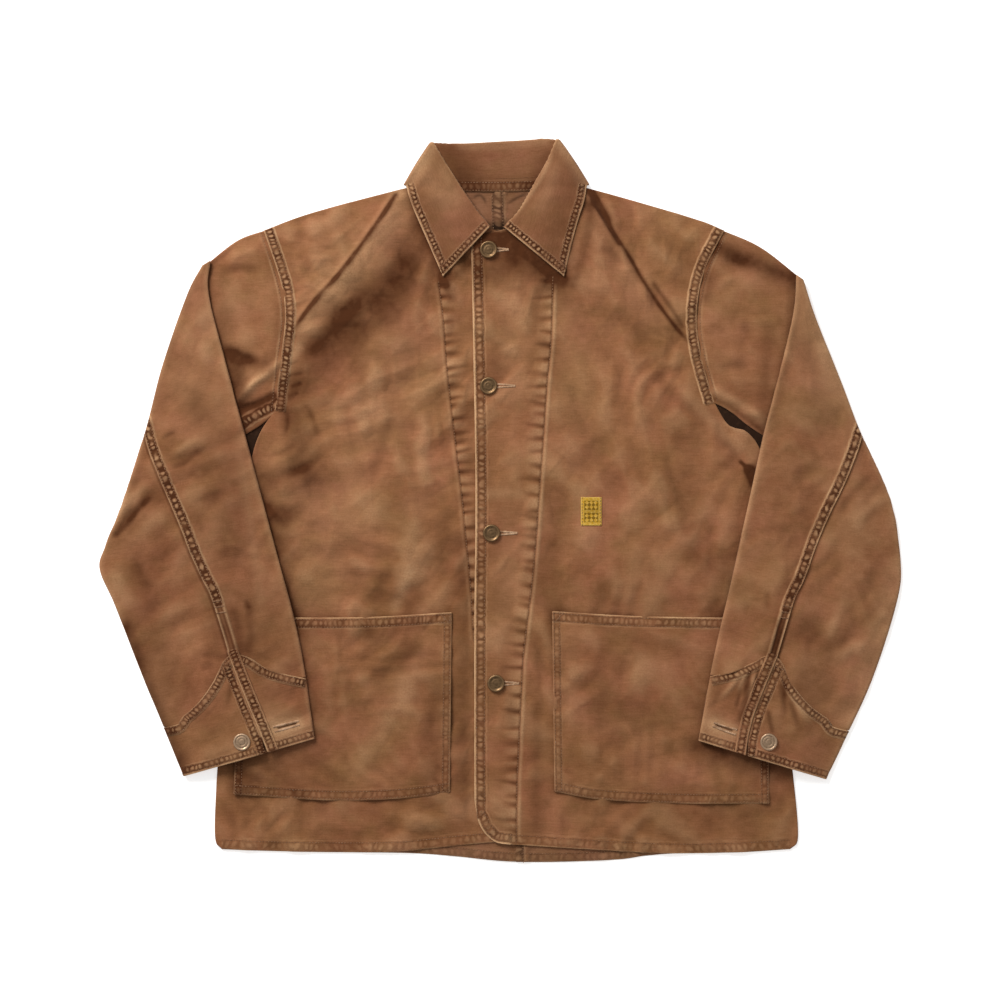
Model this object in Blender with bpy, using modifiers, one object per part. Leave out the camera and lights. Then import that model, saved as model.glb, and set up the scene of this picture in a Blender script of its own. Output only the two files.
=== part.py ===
"""Chore jacket of washed duck canvas, laid flat on its back with the sleeves folded down.

+X points to the wearer's left, +Y to the collar and +Z up from the surface it lies on, with
the origin under the middle of the outline. Every table is in millimetres. "Right" and "left"
are the wearer's sides, so the right half of the jacket is at -X.

Each cloth piece is an open surface of its middle layer, thickened with Solidify. Heights
are stacked: the collar's fall and the back lie on the surface, the fronts on the back, the
pockets on the fronts, and the sleeves over all of these and down to the surface outside.
"""

import math

import bmesh
import bpy
import numpy as np

# ---------------------------------------------------------------- driving sizes, mm
WALL = 1.2  # thickness of every cloth wall
SEAM_GAP = 0.3  # clearance where two pieces meet
STEP = WALL + SEAM_GAP  # from one layer's middle to the next one's
FLOOR_MID = WALL / 2  # middle of a layer that lies on the surface

PANEL_COLUMNS, SIDE_ROWS, ARMHOLE_ROWS = 12, 14, 7
BACK_COLUMNS = 8
NECK_SHARE = 1 / 3  # part of a panel's top edge that is neckline
ARMHOLE_SHARE = 1 / 3  # part of a panel's outer edge that is armhole

FALL_LIFT_FROM, FALL_LIFT_TO = 240, 296  # Y where the back climbs onto the collar's fall
LAP_RISE = (-62, -40)  # X where whatever lies on the fronts climbs onto the lap
LAP_DROP = (24, 52)  # X where the left front comes down beside the lap

SLEEVE_ROWS, CUFF_ROWS = 15, 2
TOP_FILL, UNDER_FILL = 5, 4  # section points between the rounded edges
HEAD_COLUMNS, HEAD_FOLD_REACH = 5, 0.8
SLEEVE_HALF = 1.7  # half the height between a flattened sleeve's layers
EDGE_ROUND = 3.2  # reach of a sleeve's rounded edge
EDGE_STEP = 1.0  # first section point beside a sleeve's edge
EDGE_STEP_MOST, EDGE_ROUND_MOST = 0.05, 0.11  # most of the sleeve's width that they take
PANEL_LENGTH_PLACE = 0.7  # place round the section where a sleeve panel's length is read
CUFF_SHARE = 0.1  # about the cuff's share of a sleeve's length
SLEEVE_CLEAR = 0.3  # extra clearance under a sleeve
DRAPE_FROM, DRAPE_OVER = 14, 44  # a sleeve comes down to the surface beside what it lies on
UNDERARM_SEAM = 1.85  # place of the underarm seam round a sleeve's section
PLACKET_WIDTH, PLACKET_CLEAR = 12, 0.1
VENT_GAP_TOP, VENT_GAP_HEM = 0.5, 4.0  # half the vent's width at its two ends

POCKET_COLUMNS, POCKET_ROWS = 8, 7
POCKET_LIFT_MARGIN, POCKET_LIFT_OVER = 26, 30
LABEL_WIDTH, LABEL_HEIGHT = 22, 30
LABEL_PLACE = (95.5, -11.5)

CAP_RADIUS, CAP_HEIGHT = 9.2, 2.6
CAP_FACE, CAP_RIM = 0.62, 0.80  # radius of the dished face and of the rim, as shares of the cap's
CAP_EDGE_DROP, CAP_SIDE_DROP = 0.35, 1.1  # how far the cap rounds down at its edge and side
SHANK_RADIUS, FRONT_SHANK, CUFF_SHANK = 1.9, 2.4, 1.6
BUTTON_DISH = 0.5
BUTTON_SIDES = 20
HOLE_LENGTH, HOLE_SIDE_GAP = 17, 0.4
FRONT_BUTTONS = ((-13.2, 265.5), (-13.2, 121.4), (-10.1, -34.5), (-5.3, -193.5))

# ---------------------------------------------------------------- outlines, (x, y) in mm
SHOULDER_RIGHT = ((-251.2, 285.7), (-213, 300.5), (-165.4, 314.3), (-101.8, 330.6), (-81.6, 334.5))
NECK_RIGHT = ((-81.6, 334.5), (-71, 320.7), (-54, 306.9), (-32.9, 295.2), (7.4, 281.4))
ARMHOLE_RIGHT = ((-239.6, 95.9), (-233.2, 151), (-228.6, 194), (-233.2, 230.6), (-251.2, 285.7))
SIDE_RIGHT = ((-295.7, -369.4), (-303.2, -349.3), (-296.8, -232.7), (-281, -63), (-266, 35),
              (-256, 70), (-239.6, 95.9))
HEM_RIGHT = ((-295.7, -369.4), (-255.5, -371), (-181.3, -372.6), (-107, -371.5), (-31.8, -364.1),
             (11.7, -360.9))
EDGE_RIGHT = ((11.7, -360.9), (11.7, -41.9), (7.4, 281.4))

SHOULDER_LEFT = ((236.4, 285.7), (210.9, 296.3), (147.3, 315.4), (92.2, 330.6), (71, 334.5))
NECK_LEFT = ((71, 334.5), (60.4, 320.7), (46.6, 307.9), (25.4, 295.2), (4.2, 287.3), (-31.8, 280.4))
ARMHOLE_LEFT = ((225.8, 104.4), (212, 154.2), (207.4, 198), (215.2, 242.2), (236.4, 285.7))
SIDE_LEFT = ((306.3, -369.4), (314.8, -349.3), (302.1, -232.7), (279, -73.7), (272, 0),
             (268, 44), (246, 74), (225.8, 104.4))
HEM_LEFT = ((306.3, -369.4), (253.3, -372.6), (173.8, -373.7), (90.1, -369.4), (9.5, -364.1))
FRONT_CORNER = ((9.5, -364.1), (-5.3, -362), (-17, -352.5), (-24.4, -338.7), (-28.1, -317.5))
EDGE_LEFT = ((-28.1, -317.5), (-28.1, -126.7), (-27, 0.5), (-28.6, 127.7), (-31.8, 280.4))
CORNER_ROWS = 2  # rows of the left front's edge that follow its rounded corner

# The back's side edges, which show behind the fronts under the arms.
BACK_SIDE_RIGHT = ((-295.7, -369.4), (-303.2, -349.3), (-296.8, -232.7), (-284, -63), (-280, 20),
                   (-273, 65), (-256.5, 82), (-239.6, 94.4))
BACK_SIDE_LEFT = ((306.3, -369.4), (314.8, -349.3), (302.1, -232.7), (283, -73.7), (282, 10),
                  (277, 58), (264, 77), (225.8, 102.9))
BACK_NECK_RIGHT = ((-81.6, 334.5), (-68.9, 334), (-40.3, 334.6), (-3.7, 335))
BACK_NECK_LEFT = ((71, 334.5), (58.3, 334.2), (35, 334.8), (-3.7, 335))
CENTRE_BACK = ((19.1, -383.1), (8, -27), (-3.7, 335))
BACK_HEM_RIGHT = ((-295.7, -369.4), (-181.3, -372.6), (-85.9, -374.2), (-5.3, -381.6), (19.1, -383.1))
BACK_HEM_LEFT = ((306.3, -369.4), (173.8, -374.7), (126.1, -380.5), (60, -383.1), (19.1, -383.1))

POCKET_RIGHT = dict(
    top=((-276.7, -123.5), (-149.5, -123.5), (-51.9, -118.2)),
    bottom=((-283, -311), (-181.3, -317.5), (-107, -315.5), (-54.1, -309)),
    outer=((-283, -311), (-276.7, -123.5)),
    inner=((-54.1, -309), (-51.9, -118.2)),
)
POCKET_LEFT = dict(
    top=((280.9, -124.6), (147.3, -122.4), (54.1, -117.1)),
    bottom=((284.1, -320.7), (189.7, -320.7), (104.9, -316.4), (56.5, -308)),
    outer=((284.1, -320.7), (280.9, -124.6)),
    inner=((56.5, -308), (54.1, -117.1)),
)
POCKET_BOX_Y = (-322, -116)  # reach of both pockets in Y
POCKET_BOX_X = (50, 286)  # reach of both pockets in distance from X = 0

# The part of each sleeve that is set into the armhole and tucked under the folded sleeve.
HEAD_RIGHT = dict(
    top=((-251.9, 285.7), (-279, 274.3), (-306, 252)),
    bottom=((-240.3, 95.9), (-256, 84), (-276, 70)),
    armhole=tuple((x - 0.7, y) for x, y in ARMHOLE_RIGHT),
    outer=((-276, 70), (-290, 120), (-302, 180), (-306, 252)),
)
HEAD_LEFT = dict(
    top=((237.1, 285.7), (275, 267), (313, 238)),
    bottom=((226.5, 104.4), (266, 79), (280, 62)),
    armhole=tuple((x + 0.7, y) for x, y in ARMHOLE_LEFT),
    outer=((280, 62), (294, 120), (306, 180), (313, 238)),
)

# Sleeves as laid: the outer edge, the inner edge, and the edge of what lies under them.
SLEEVE_OUTER_RIGHT = ((-315.5, 249), (-332, 218), (-358.3, 143.6), (-376.3, 74.7), (-401.7, -4.8),
                      (-419, -48), (-424.6, -73), (-407, -111.8), (-372.1, -190.3), (-335, -292))
SLEEVE_INNER_RIGHT = ((-308, 253.5), (-309.5, 217.8), (-289.4, 138.3), (-263.9, 42.9),
                      (-239.6, -47.2), (-213.1, -150), (-197.2, -251.8))
SLEEVE_OUTER_LEFT = ((319.5, 234), (332.8, 193.5), (361.5, 122.4), (380.5, 72.6), (412.3, 0.5),
                     (422.7, -62), (419.5, -107), (396.4, -190.3), (364.6, -259.2), (341.3, -295.2))
SLEEVE_INNER_LEFT = ((313, 238.5), (310, 200), (295.7, 138.3), (276.7, 64.1), (251.2, -52.5),
                     (226.8, -158.5), (208.8, -253.9))
UNDERLAY_RIGHT = ((-303, -350), (-297, -233), (-289.5, -148), (-284, -63), (-280, 20),
                  (-278, 72), (-291, 120), (-303, 180), (-307, 252))
UNDERLAY_LEFT = ((315, -350), (302, -233), (290, -158), (283, -74), (282, 10),
                 (281, 62), (295, 120), (307, 180), (314, 240))

# Where the back seam crosses a sleeve's section: 0 is the inner edge and 1 the outer edge.
# Columns: place along the sleeve from the shoulder (0) to the cuff (1), place round the section.
BACK_SEAM_RIGHT = ((0.0, 1.0), (0.33, 1.0), (0.41, 0.80), (0.48, 0.62), (0.56, 0.49), (0.67, 0.40),
                   (1.0, 0.40))
BACK_SEAM_LEFT = ((0.0, 1.0), (0.33, 1.0), (0.41, 0.80), (0.48, 0.64), (0.58, 0.50), (0.70, 0.44),
                  (1.0, 0.40))
# Cuff height along the sleeve. Columns: place round the section, height from the cuff's hem.
CUFF_HEIGHT_RIGHT = ((0.0, 66), (0.25, 88), (0.40, 107), (0.55, 92), (0.75, 66), (1.0, 50), (2.0, 66))
CUFF_HEIGHT_LEFT = ((0.0, 66), (0.25, 90), (0.40, 106), (0.55, 88), (0.75, 62), (1.0, 50), (2.0, 66))
CUFF_BUTTON_RIGHT = (-273.5, -254.9)
CUFF_BUTTON_LEFT = (282.5, -254.9)

# The collar strip in plan. Columns: neck edge, roll (the fold) and outer edge of the fall.
# Rows run from a front end to the side of the neck, and across the back.
COLLAR_RIGHT = (
    ((-22, 280.5), (-12.5, 288.6), (-61.5, 236.9)),
    ((-37, 296.2), (-26.5, 305.8), (-75.3, 268.7)),
    ((-52, 304.7), (-40.3, 326), (-87, 295.2)),
    ((-67.8, 317.5), (-57.2, 352.5), (-95.4, 315.4)),
    ((-79.4, 337), (-72, 377.5), (-100.6, 333.6)),
)
COLLAR_BACK = (
    ((-79.4, 337), (-72, 377.5), (-100.6, 333.6)),
    ((-59.4, 328.4), (-48.8, 376.4), (-64.7, 329)),
    ((-22.3, 327), (-22.3, 377.2), (-22.3, 326)),
    ((20.1, 327.5), (20.1, 379.6), (20.1, 326)),
    ((48, 329.5), (45, 381.6), (55, 329)),
    ((68.9, 337), (59, 380.5), (91, 334)),
)
COLLAR_LEFT = (
    ((68.9, 337), (59, 380.5), (91, 334)),
    ((58.3, 318.5), (48.8, 356.7), (88, 316.4)),
    ((42.4, 304.7), (33.9, 330.2), (81.6, 296.3)),
    ((28.6, 293.1), (19.6, 305), (74.2, 268.7)),
    ((14, 280.4), (4.2, 288), (66.8, 236.9)),
)
COLLAR_FRONT_STATIONS, COLLAR_BACK_STATIONS = 6, 7
COLLAR_TURN_DEGREES = (45, 0, -45)
BACK_STAND_MID = 3.9  # middle of the stand where it lies on the back's neck edge
STAND_CLEAR = 2.0  # from the topmost front's middle to the stand's middle
LEAF_OVER_STAND = 2.4  # from the stand's middle to the leaf's middle at the roll
LEAF_EDGE_CLEAR = 2.0  # from the topmost front's middle to the leaf's at its outer edge
ROLL_REACH = 1.3  # how far the roll's points lie from its fold line
ROLL_BULGE = 0.5  # how far the roll bulges past its fold line
BACK_STAND_BULGE = 2.5  # how much the inside of the back stand swells
BACK_ROLL_BULGE = 0.8

# Large folds. Columns: start, middle and end in plan, half width, height.
BODY_FOLDS = (
    ((-112, 308), (-158, 252.8), (-214, 160), 17, 6.0),
    ((103, 312), (147.3, 239), (199, 166), 17, 5.5),
    ((-170, 120), (-150, 40), (-165, -50), 30, 3.0),
    ((110, 200), (150, 110), (160, 20), 30, 3.0),
    ((190, 110), (215, 40), (205, -40), 22, 3.0),
)
HEAD_FOLDS = (
    ((-246, 112), (-258, 128), (-274, 144), 14, 2.2),
    ((226, 124), (244, 138), (270, 148), 14, 2.2),
)
SLEEVE_FOLDS = (
    ((-412, -30), (-365, -70), (-315, -60), 20, 3.5),
    ((-345, -175), (-300, -150), (-245, -165), 22, 3.0),
    ((-380, 60), (-330, 40), (-290, 70), 26, 2.5),
    ((412, -40), (370, -85), (320, -70), 20, 3.5),
    ((350, -190), (310, -150), (250, -150), 22, 3.0),
    ((375, 60), (335, 40), (290, 80), 26, 2.5),
)

# ---------------------------------------------------------------- colours, linear RGB
DUCK = (0.298, 0.135, 0.066)
DUCK_INSIDE = (0.255, 0.125, 0.068)
DUCK_COLLAR = (0.285, 0.128, 0.062)
LABEL_GOLD = (0.47, 0.27, 0.05)
OLD_BRONZE = (0.20, 0.125, 0.065)
PALE_BRONZE = (0.34, 0.20, 0.12)


# ---------------------------------------------------------------- curves and surfaces
def smooth_line(points, steps=12):
    """Points of a Catmull-Rom curve through the given ones."""
    points = np.asarray(points, float)
    before = 2 * points[:1] - points[1:2]
    after = 2 * points[-1:] - points[-2:-1]
    whole = np.concatenate([before, points, after])
    t = np.linspace(0, 1, steps, endpoint=False)[:, None]
    runs = []
    for p0, p1, p2, p3 in zip(whole, whole[1:], whole[2:], whole[3:]):
        curve = 2 * p1 + (p2 - p0) * t + (2 * p0 - 5 * p1 + 4 * p2 - p3) * t**2
        runs.append((curve + (3 * p1 - p0 - 3 * p2 + p3) * t**3) / 2)
    return np.concatenate(runs + [points[-1:]])


def along(points, t):
    """Points at the shares t of a smooth curve's length."""
    line = smooth_line(points)
    reach = np.concatenate([[0], np.cumsum(np.linalg.norm(np.diff(line, axis=0), axis=1))])
    where = np.clip(t, 0, 1) * reach[-1]
    return np.stack([np.interp(where, reach, line[:, k]) for k in range(line.shape[1])], axis=-1)


def two_stretches(first, second, second_share):
    """An edge that follows one curve, turns a corner and follows the other."""
    corner = 1 - second_share

    def edge(t):
        start = along(first, t / corner)
        end = along(second, (t - corner) / second_share)
        return np.where((t <= corner + 1e-9)[:, None], start, end)

    return edge


def one_stretch(points):
    """An edge that follows one curve."""
    return lambda t: along(points, t)


def coons_patch(bottom, top, outer, inner, columns, rows):
    """Plan points of a four-sided panel, as rows from bottom to top of columns outer to inner."""
    u = np.linspace(0, 1, columns + 1)
    v = np.linspace(0, 1, rows + 1)
    low, high = bottom(u)[None], top(u)[None]
    left, right = outer(v)[:, None], inner(v)[:, None]
    u, v = u[None, :, None], v[:, None, None]
    corners = (1 - u) * (1 - v) * low[:, :1] + u * (1 - v) * low[:, -1:]
    corners = corners + (1 - u) * v * high[:, :1] + u * v * high[:, -1:]
    return (1 - v) * low + v * high + (1 - u) * left + u * right - corners


def ease(start, stop, x):
    """0 before start, 1 after stop, and smooth between them."""
    t = np.clip((np.asarray(x, float) - start) / (stop - start), 0, 1)
    return t * t * (3 - 2 * t)


def with_height(plan, height):
    """Plan points lifted to a height given by a function of x and y."""
    return np.dstack([plan, height(plan[..., 0], plan[..., 1])])


# ---------------------------------------------------------------- heights of the layers
def fold_height(x, y, folds):
    """Height that soft folds add, each a ridge along a curve that fades at both ends."""
    total = np.zeros(np.shape(x))
    for start, middle, end, half_width, height in folds:
        spine = smooth_line((start, middle, end))
        share = np.linspace(0, 1, len(spine))
        gap = np.hypot(np.asarray(x)[..., None] - spine[:, 0], np.asarray(y)[..., None] - spine[:, 1])
        fade = np.sin(math.pi * share[gap.argmin(axis=-1)]) ** 0.5
        total += height * fade * np.exp(-((gap.min(axis=-1) / half_width) ** 2))
    return total


def back_mid(x, y):
    """The back lies on the surface and climbs onto the collar's fall at the neck."""
    return FLOOR_MID + STEP * ease(FALL_LIFT_FROM, FALL_LIFT_TO, y) + 0 * x


def front_mid(x, y):
    """A front lies on the back, with its large folds."""
    return back_mid(x, y) + STEP + fold_height(x, y, BODY_FOLDS)


def left_front_mid(x, y):
    """The left front lies on the right one at the lap."""
    return front_mid(x, y) + STEP * (1 - ease(*LAP_DROP, x))


def fronts_top_mid(x, y):
    """The topmost front, for whatever lies on both."""
    return front_mid(x, y) + STEP * (ease(*LAP_RISE, x) - ease(*LAP_DROP, x))


def head_mid(x, y):
    """The upper layer of a sleeve's head."""
    return back_mid(x, y) + STEP + fold_height(x, y, HEAD_FOLDS)


def pocket_lift(x, y):
    """What the sleeves add to clear the pockets below them."""
    low, high = POCKET_BOX_Y
    near, far = POCKET_BOX_X
    out = POCKET_LIFT_MARGIN + POCKET_LIFT_OVER
    inside_y = ease(low - out, low - POCKET_LIFT_MARGIN, y) * (
        1 - ease(high + POCKET_LIFT_MARGIN, high + out, y))
    reach = np.abs(x)
    inside_x = ease(near - out, near - POCKET_LIFT_MARGIN, reach) * (
        1 - ease(far + POCKET_LIFT_MARGIN, far + out, reach))
    return STEP * inside_x * inside_y


def sleeve_under_mid(x, y, underlay):
    """A sleeve's lower layer: on the body and head, then down to the surface beside them."""
    edges = np.asarray(underlay, float)
    edge = np.interp(y, edges[:, 1], np.abs(edges[:, 0]))
    down = ease(DRAPE_FROM, DRAPE_FROM + DRAPE_OVER, np.abs(x) - edge)
    folds = np.maximum(fold_height(x, y, BODY_FOLDS), fold_height(x, y, HEAD_FOLDS))
    on_body = back_mid(x, y) + 2 * STEP + SLEEVE_CLEAR + folds + pocket_lift(x, y)
    return on_body * (1 - down) + FLOOR_MID * down


# ---------------------------------------------------------------- Blender objects
def cleared_scene(name):
    """An empty scene with one collection for the garment and one for its cutters."""
    for old in list(bpy.data.objects):
        bpy.data.objects.remove(old, do_unlink=True)
    garment = bpy.data.collections.new(name)
    cutters = bpy.data.collections.new(f"{name}_cutters")
    for collection in (garment, cutters):
        bpy.context.scene.collection.children.link(collection)
    return garment, cutters


def finish(name, colour, roughness, metallic=0.0):
    """A plain material."""
    material = bpy.data.materials.new(name)
    material.use_nodes = True
    shader = material.node_tree.nodes["Principled BSDF"]
    shader.inputs["Base Color"].default_value = (*colour, 1)
    shader.inputs["Roughness"].default_value = roughness
    shader.inputs["Metallic"].default_value = metallic
    material.diffuse_color = (*colour, 1)
    return material


def placed(name, bm, collection, material):
    """A mesh object made from a bmesh in millimetres."""
    bmesh.ops.scale(bm, vec=(0.001, 0.001, 0.001), verts=bm.verts)
    mesh = bpy.data.meshes.new(name)
    bm.to_mesh(mesh)
    bm.free()
    mesh.shade_smooth()
    item = bpy.data.objects.new(name, mesh)
    item.data.materials.append(material)
    collection.objects.link(item)
    return item


def cloth(name, grid, collection, material):
    """A cloth wall: a grid of middle-layer points, thickened to both sides."""
    rows, columns = grid.shape[:2]
    bm = bmesh.new()
    verts = [[bm.verts.new(point) for point in row] for row in grid]
    for i in range(rows - 1):
        for j in range(columns - 1):
            bm.faces.new((verts[i][j], verts[i][j + 1], verts[i + 1][j + 1], verts[i + 1][j]))
    item = placed(name, bm, collection, material)
    wall = item.modifiers.new("wall", "SOLIDIFY")
    wall.thickness = WALL / 1000
    wall.offset = 0
    return item


def tack_button(name, place, base_height, shank, dish, collection, material):
    """A turned metal tack button: a short shank under a cap with a dished face."""
    top = shank + CAP_HEIGHT
    profile = (
        (0, top - dish),
        (CAP_RADIUS * CAP_FACE, top - dish),
        (CAP_RADIUS * CAP_RIM, top),
        (CAP_RADIUS - CAP_EDGE_DROP, top - CAP_EDGE_DROP),
        (CAP_RADIUS, top - CAP_SIDE_DROP),
        (CAP_RADIUS - CAP_EDGE_DROP, shank),
        (SHANK_RADIUS, shank),
        (SHANK_RADIUS, 0),
        (0, 0),
    )
    bm = bmesh.new()
    verts = [bm.verts.new((radius, 0, height)) for radius, height in profile]
    for first, second in zip(verts, verts[1:]):
        bm.edges.new((first, second))
    item = placed(name, bm, collection, material)
    item.location = (place[0] / 1000, place[1] / 1000, base_height / 1000)
    turn = item.modifiers.new("turn", "SCREW")
    turn.steps = turn.render_steps = BUTTON_SIDES
    turn.use_merge_vertices = True
    turn.merge_threshold = 0.00005
    turn.use_smooth_shade = True
    return item


def cutter_boxes(name, boxes, collection):
    """One hidden cutter made of separate boxes, each given by its low and high corner."""
    bm = bmesh.new()
    for low, high in boxes:
        low, high = np.array(low), np.array(high)
        made = bmesh.ops.create_cube(bm, size=1)["verts"]
        bmesh.ops.scale(bm, vec=tuple(high - low), verts=made)
        bmesh.ops.translate(bm, vec=tuple((high + low) / 2), verts=made)
    item = placed(name, bm, collection, finish(f"{name}_guide", DUCK, 0.9))
    item.hide_render = True
    item.display_type = "WIRE"
    return item


# ---------------------------------------------------------------- body
def shifted(points, across):
    """The same points moved sideways."""
    return tuple((x + across, y) for x, y in points)


def body_plan(hem, shoulder, neck, side, armhole, inner, columns):
    """Plan grid of one body panel, from its side to the centre and from the hem up."""
    return coons_patch(
        one_stretch(hem),
        two_stretches(shoulder, neck, NECK_SHARE),
        two_stretches(side, armhole, ARMHOLE_SHARE),
        inner,
        columns,
        SIDE_ROWS + ARMHOLE_ROWS,
    )


def build_backs(garment):
    """Two back panels that meet at the centre-back seam."""
    material = finish("duck_inside", DUCK_INSIDE, 0.9)
    sides = (
        ("back_right", -1, BACK_HEM_RIGHT, SHOULDER_RIGHT, BACK_NECK_RIGHT, BACK_SIDE_RIGHT,
         BACK_SIDE_RIGHT[-1:] + ARMHOLE_RIGHT[1:]),
        ("back_left", 1, BACK_HEM_LEFT, SHOULDER_LEFT, BACK_NECK_LEFT, BACK_SIDE_LEFT,
         BACK_SIDE_LEFT[-1:] + ARMHOLE_LEFT[1:]),
    )
    for name, side, hem, shoulder, neck, edge, armhole in sides:
        seam = shifted(CENTRE_BACK, side * SEAM_GAP / 2)
        hem = hem[:-1] + (seam[0],)
        neck = neck[:-1] + (seam[-1],)
        plan = body_plan(hem, shoulder, neck, edge, armhole, one_stretch(seam), BACK_COLUMNS)
        cloth(name, with_height(plan, back_mid), garment, material)


def build_fronts(garment, cutters):
    """The right front, and the left front that laps over it with four cut buttonholes."""
    material = finish("duck", DUCK, 0.9)
    plan = body_plan(HEM_RIGHT, SHOULDER_RIGHT, NECK_RIGHT, SIDE_RIGHT, ARMHOLE_RIGHT,
                     one_stretch(EDGE_RIGHT), PANEL_COLUMNS)
    cloth("front_right", with_height(plan, front_mid), garment, material)

    inner = two_stretches(FRONT_CORNER, EDGE_LEFT, 1 - CORNER_ROWS / (SIDE_ROWS + ARMHOLE_ROWS))
    plan = body_plan(HEM_LEFT, SHOULDER_LEFT, NECK_LEFT, SIDE_LEFT, ARMHOLE_LEFT, inner,
                     PANEL_COLUMNS)
    front = cloth("front_left", with_height(plan, left_front_mid), garment, material)
    half = SHANK_RADIUS + HOLE_SIDE_GAP
    holes = []
    for x, y in FRONT_BUTTONS:
        low = front_mid(x, y) + WALL / 2 + SEAM_GAP / 2
        holes.append(((x - half, y - half, low), (x - half + HOLE_LENGTH, y + half, low + 3 * STEP)))
    cut = front.modifiers.new("buttonholes", "BOOLEAN")
    cut.operation = "DIFFERENCE"
    cut.object = cutter_boxes("buttonhole_cutters", holes, cutters)


def build_pockets(garment):
    """Two patch pockets on the fronts."""
    material = finish("duck_pocket", DUCK, 0.9)
    for name, edges in (("pocket_right", POCKET_RIGHT), ("pocket_left", POCKET_LEFT)):
        bottom, top, outer, inner = (one_stretch(edges[k]) for k in ("bottom", "top", "outer", "inner"))
        plan = coons_patch(bottom, top, outer, inner, POCKET_COLUMNS, POCKET_ROWS)
        cloth(name, with_height(plan, lambda x, y: fronts_top_mid(x, y) + STEP), garment, material)


def build_label(garment):
    """A small woven patch on the left front."""
    x = LABEL_PLACE[0] + LABEL_WIDTH * np.linspace(-0.5, 0.5, 2)
    y = LABEL_PLACE[1] + LABEL_HEIGHT * np.linspace(-0.5, 0.5, 3)
    plan = np.dstack(np.meshgrid(x, y))
    grid = with_height(plan, lambda x, y: left_front_mid(x, y) + STEP)
    cloth("label", grid, garment, finish("woven_label", LABEL_GOLD, 0.75))


# ---------------------------------------------------------------- sleeves
def build_sleeve_head(name, head, garment, material):
    """The top of a sleeve: a front layer, a fold along the shoulder and a back layer."""
    edges = [one_stretch(head[k]) for k in ("bottom", "top", "outer", "armhole")]
    plan = coons_patch(*edges, HEAD_COLUMNS, ARMHOLE_ROWS)
    front = with_height(plan, head_mid)
    back = with_height(plan, back_mid)[::-1]
    fold = (front[-1:] + back[:1]) / 2
    fold[..., 1] += HEAD_FOLD_REACH
    cloth(name, np.concatenate([front, fold, back]), garment, material)


def section_places(start, edge, stop, width, before, after, rounded_stop):
    """Places round a sleeve's section, close together at its rounded edges."""
    near = min(EDGE_STEP / width, EDGE_STEP_MOST)
    far = min(EDGE_ROUND / width, EDGE_ROUND_MOST)
    end = stop - far if rounded_stop else stop
    parts = [
        np.linspace(start, edge - far, before + 2),
        [edge - near, edge, edge + near],
        np.linspace(edge + far, end, after + 2),
        [stop - near, stop] if rounded_stop else [],
    ]
    return np.concatenate(parts)


def top_places(seam, width):
    """Places of the top sleeve: from the underarm seam round the inner edge to the back seam."""
    gap = SEAM_GAP / 2 / width
    return section_places(UNDERARM_SEAM - 2 + gap, 0, seam - gap, width, 0, TOP_FILL, True)


def under_places(seam, width):
    """Places of the under sleeve: from the back seam round the outer edge to the underarm seam."""
    gap = SEAM_GAP / 2 / width
    edge = max(1, seam + 1.5 * min(EDGE_ROUND / width, EDGE_ROUND_MOST))
    return section_places(seam + gap, edge, UNDERARM_SEAM - gap, width, 1, UNDER_FILL, False)


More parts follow.
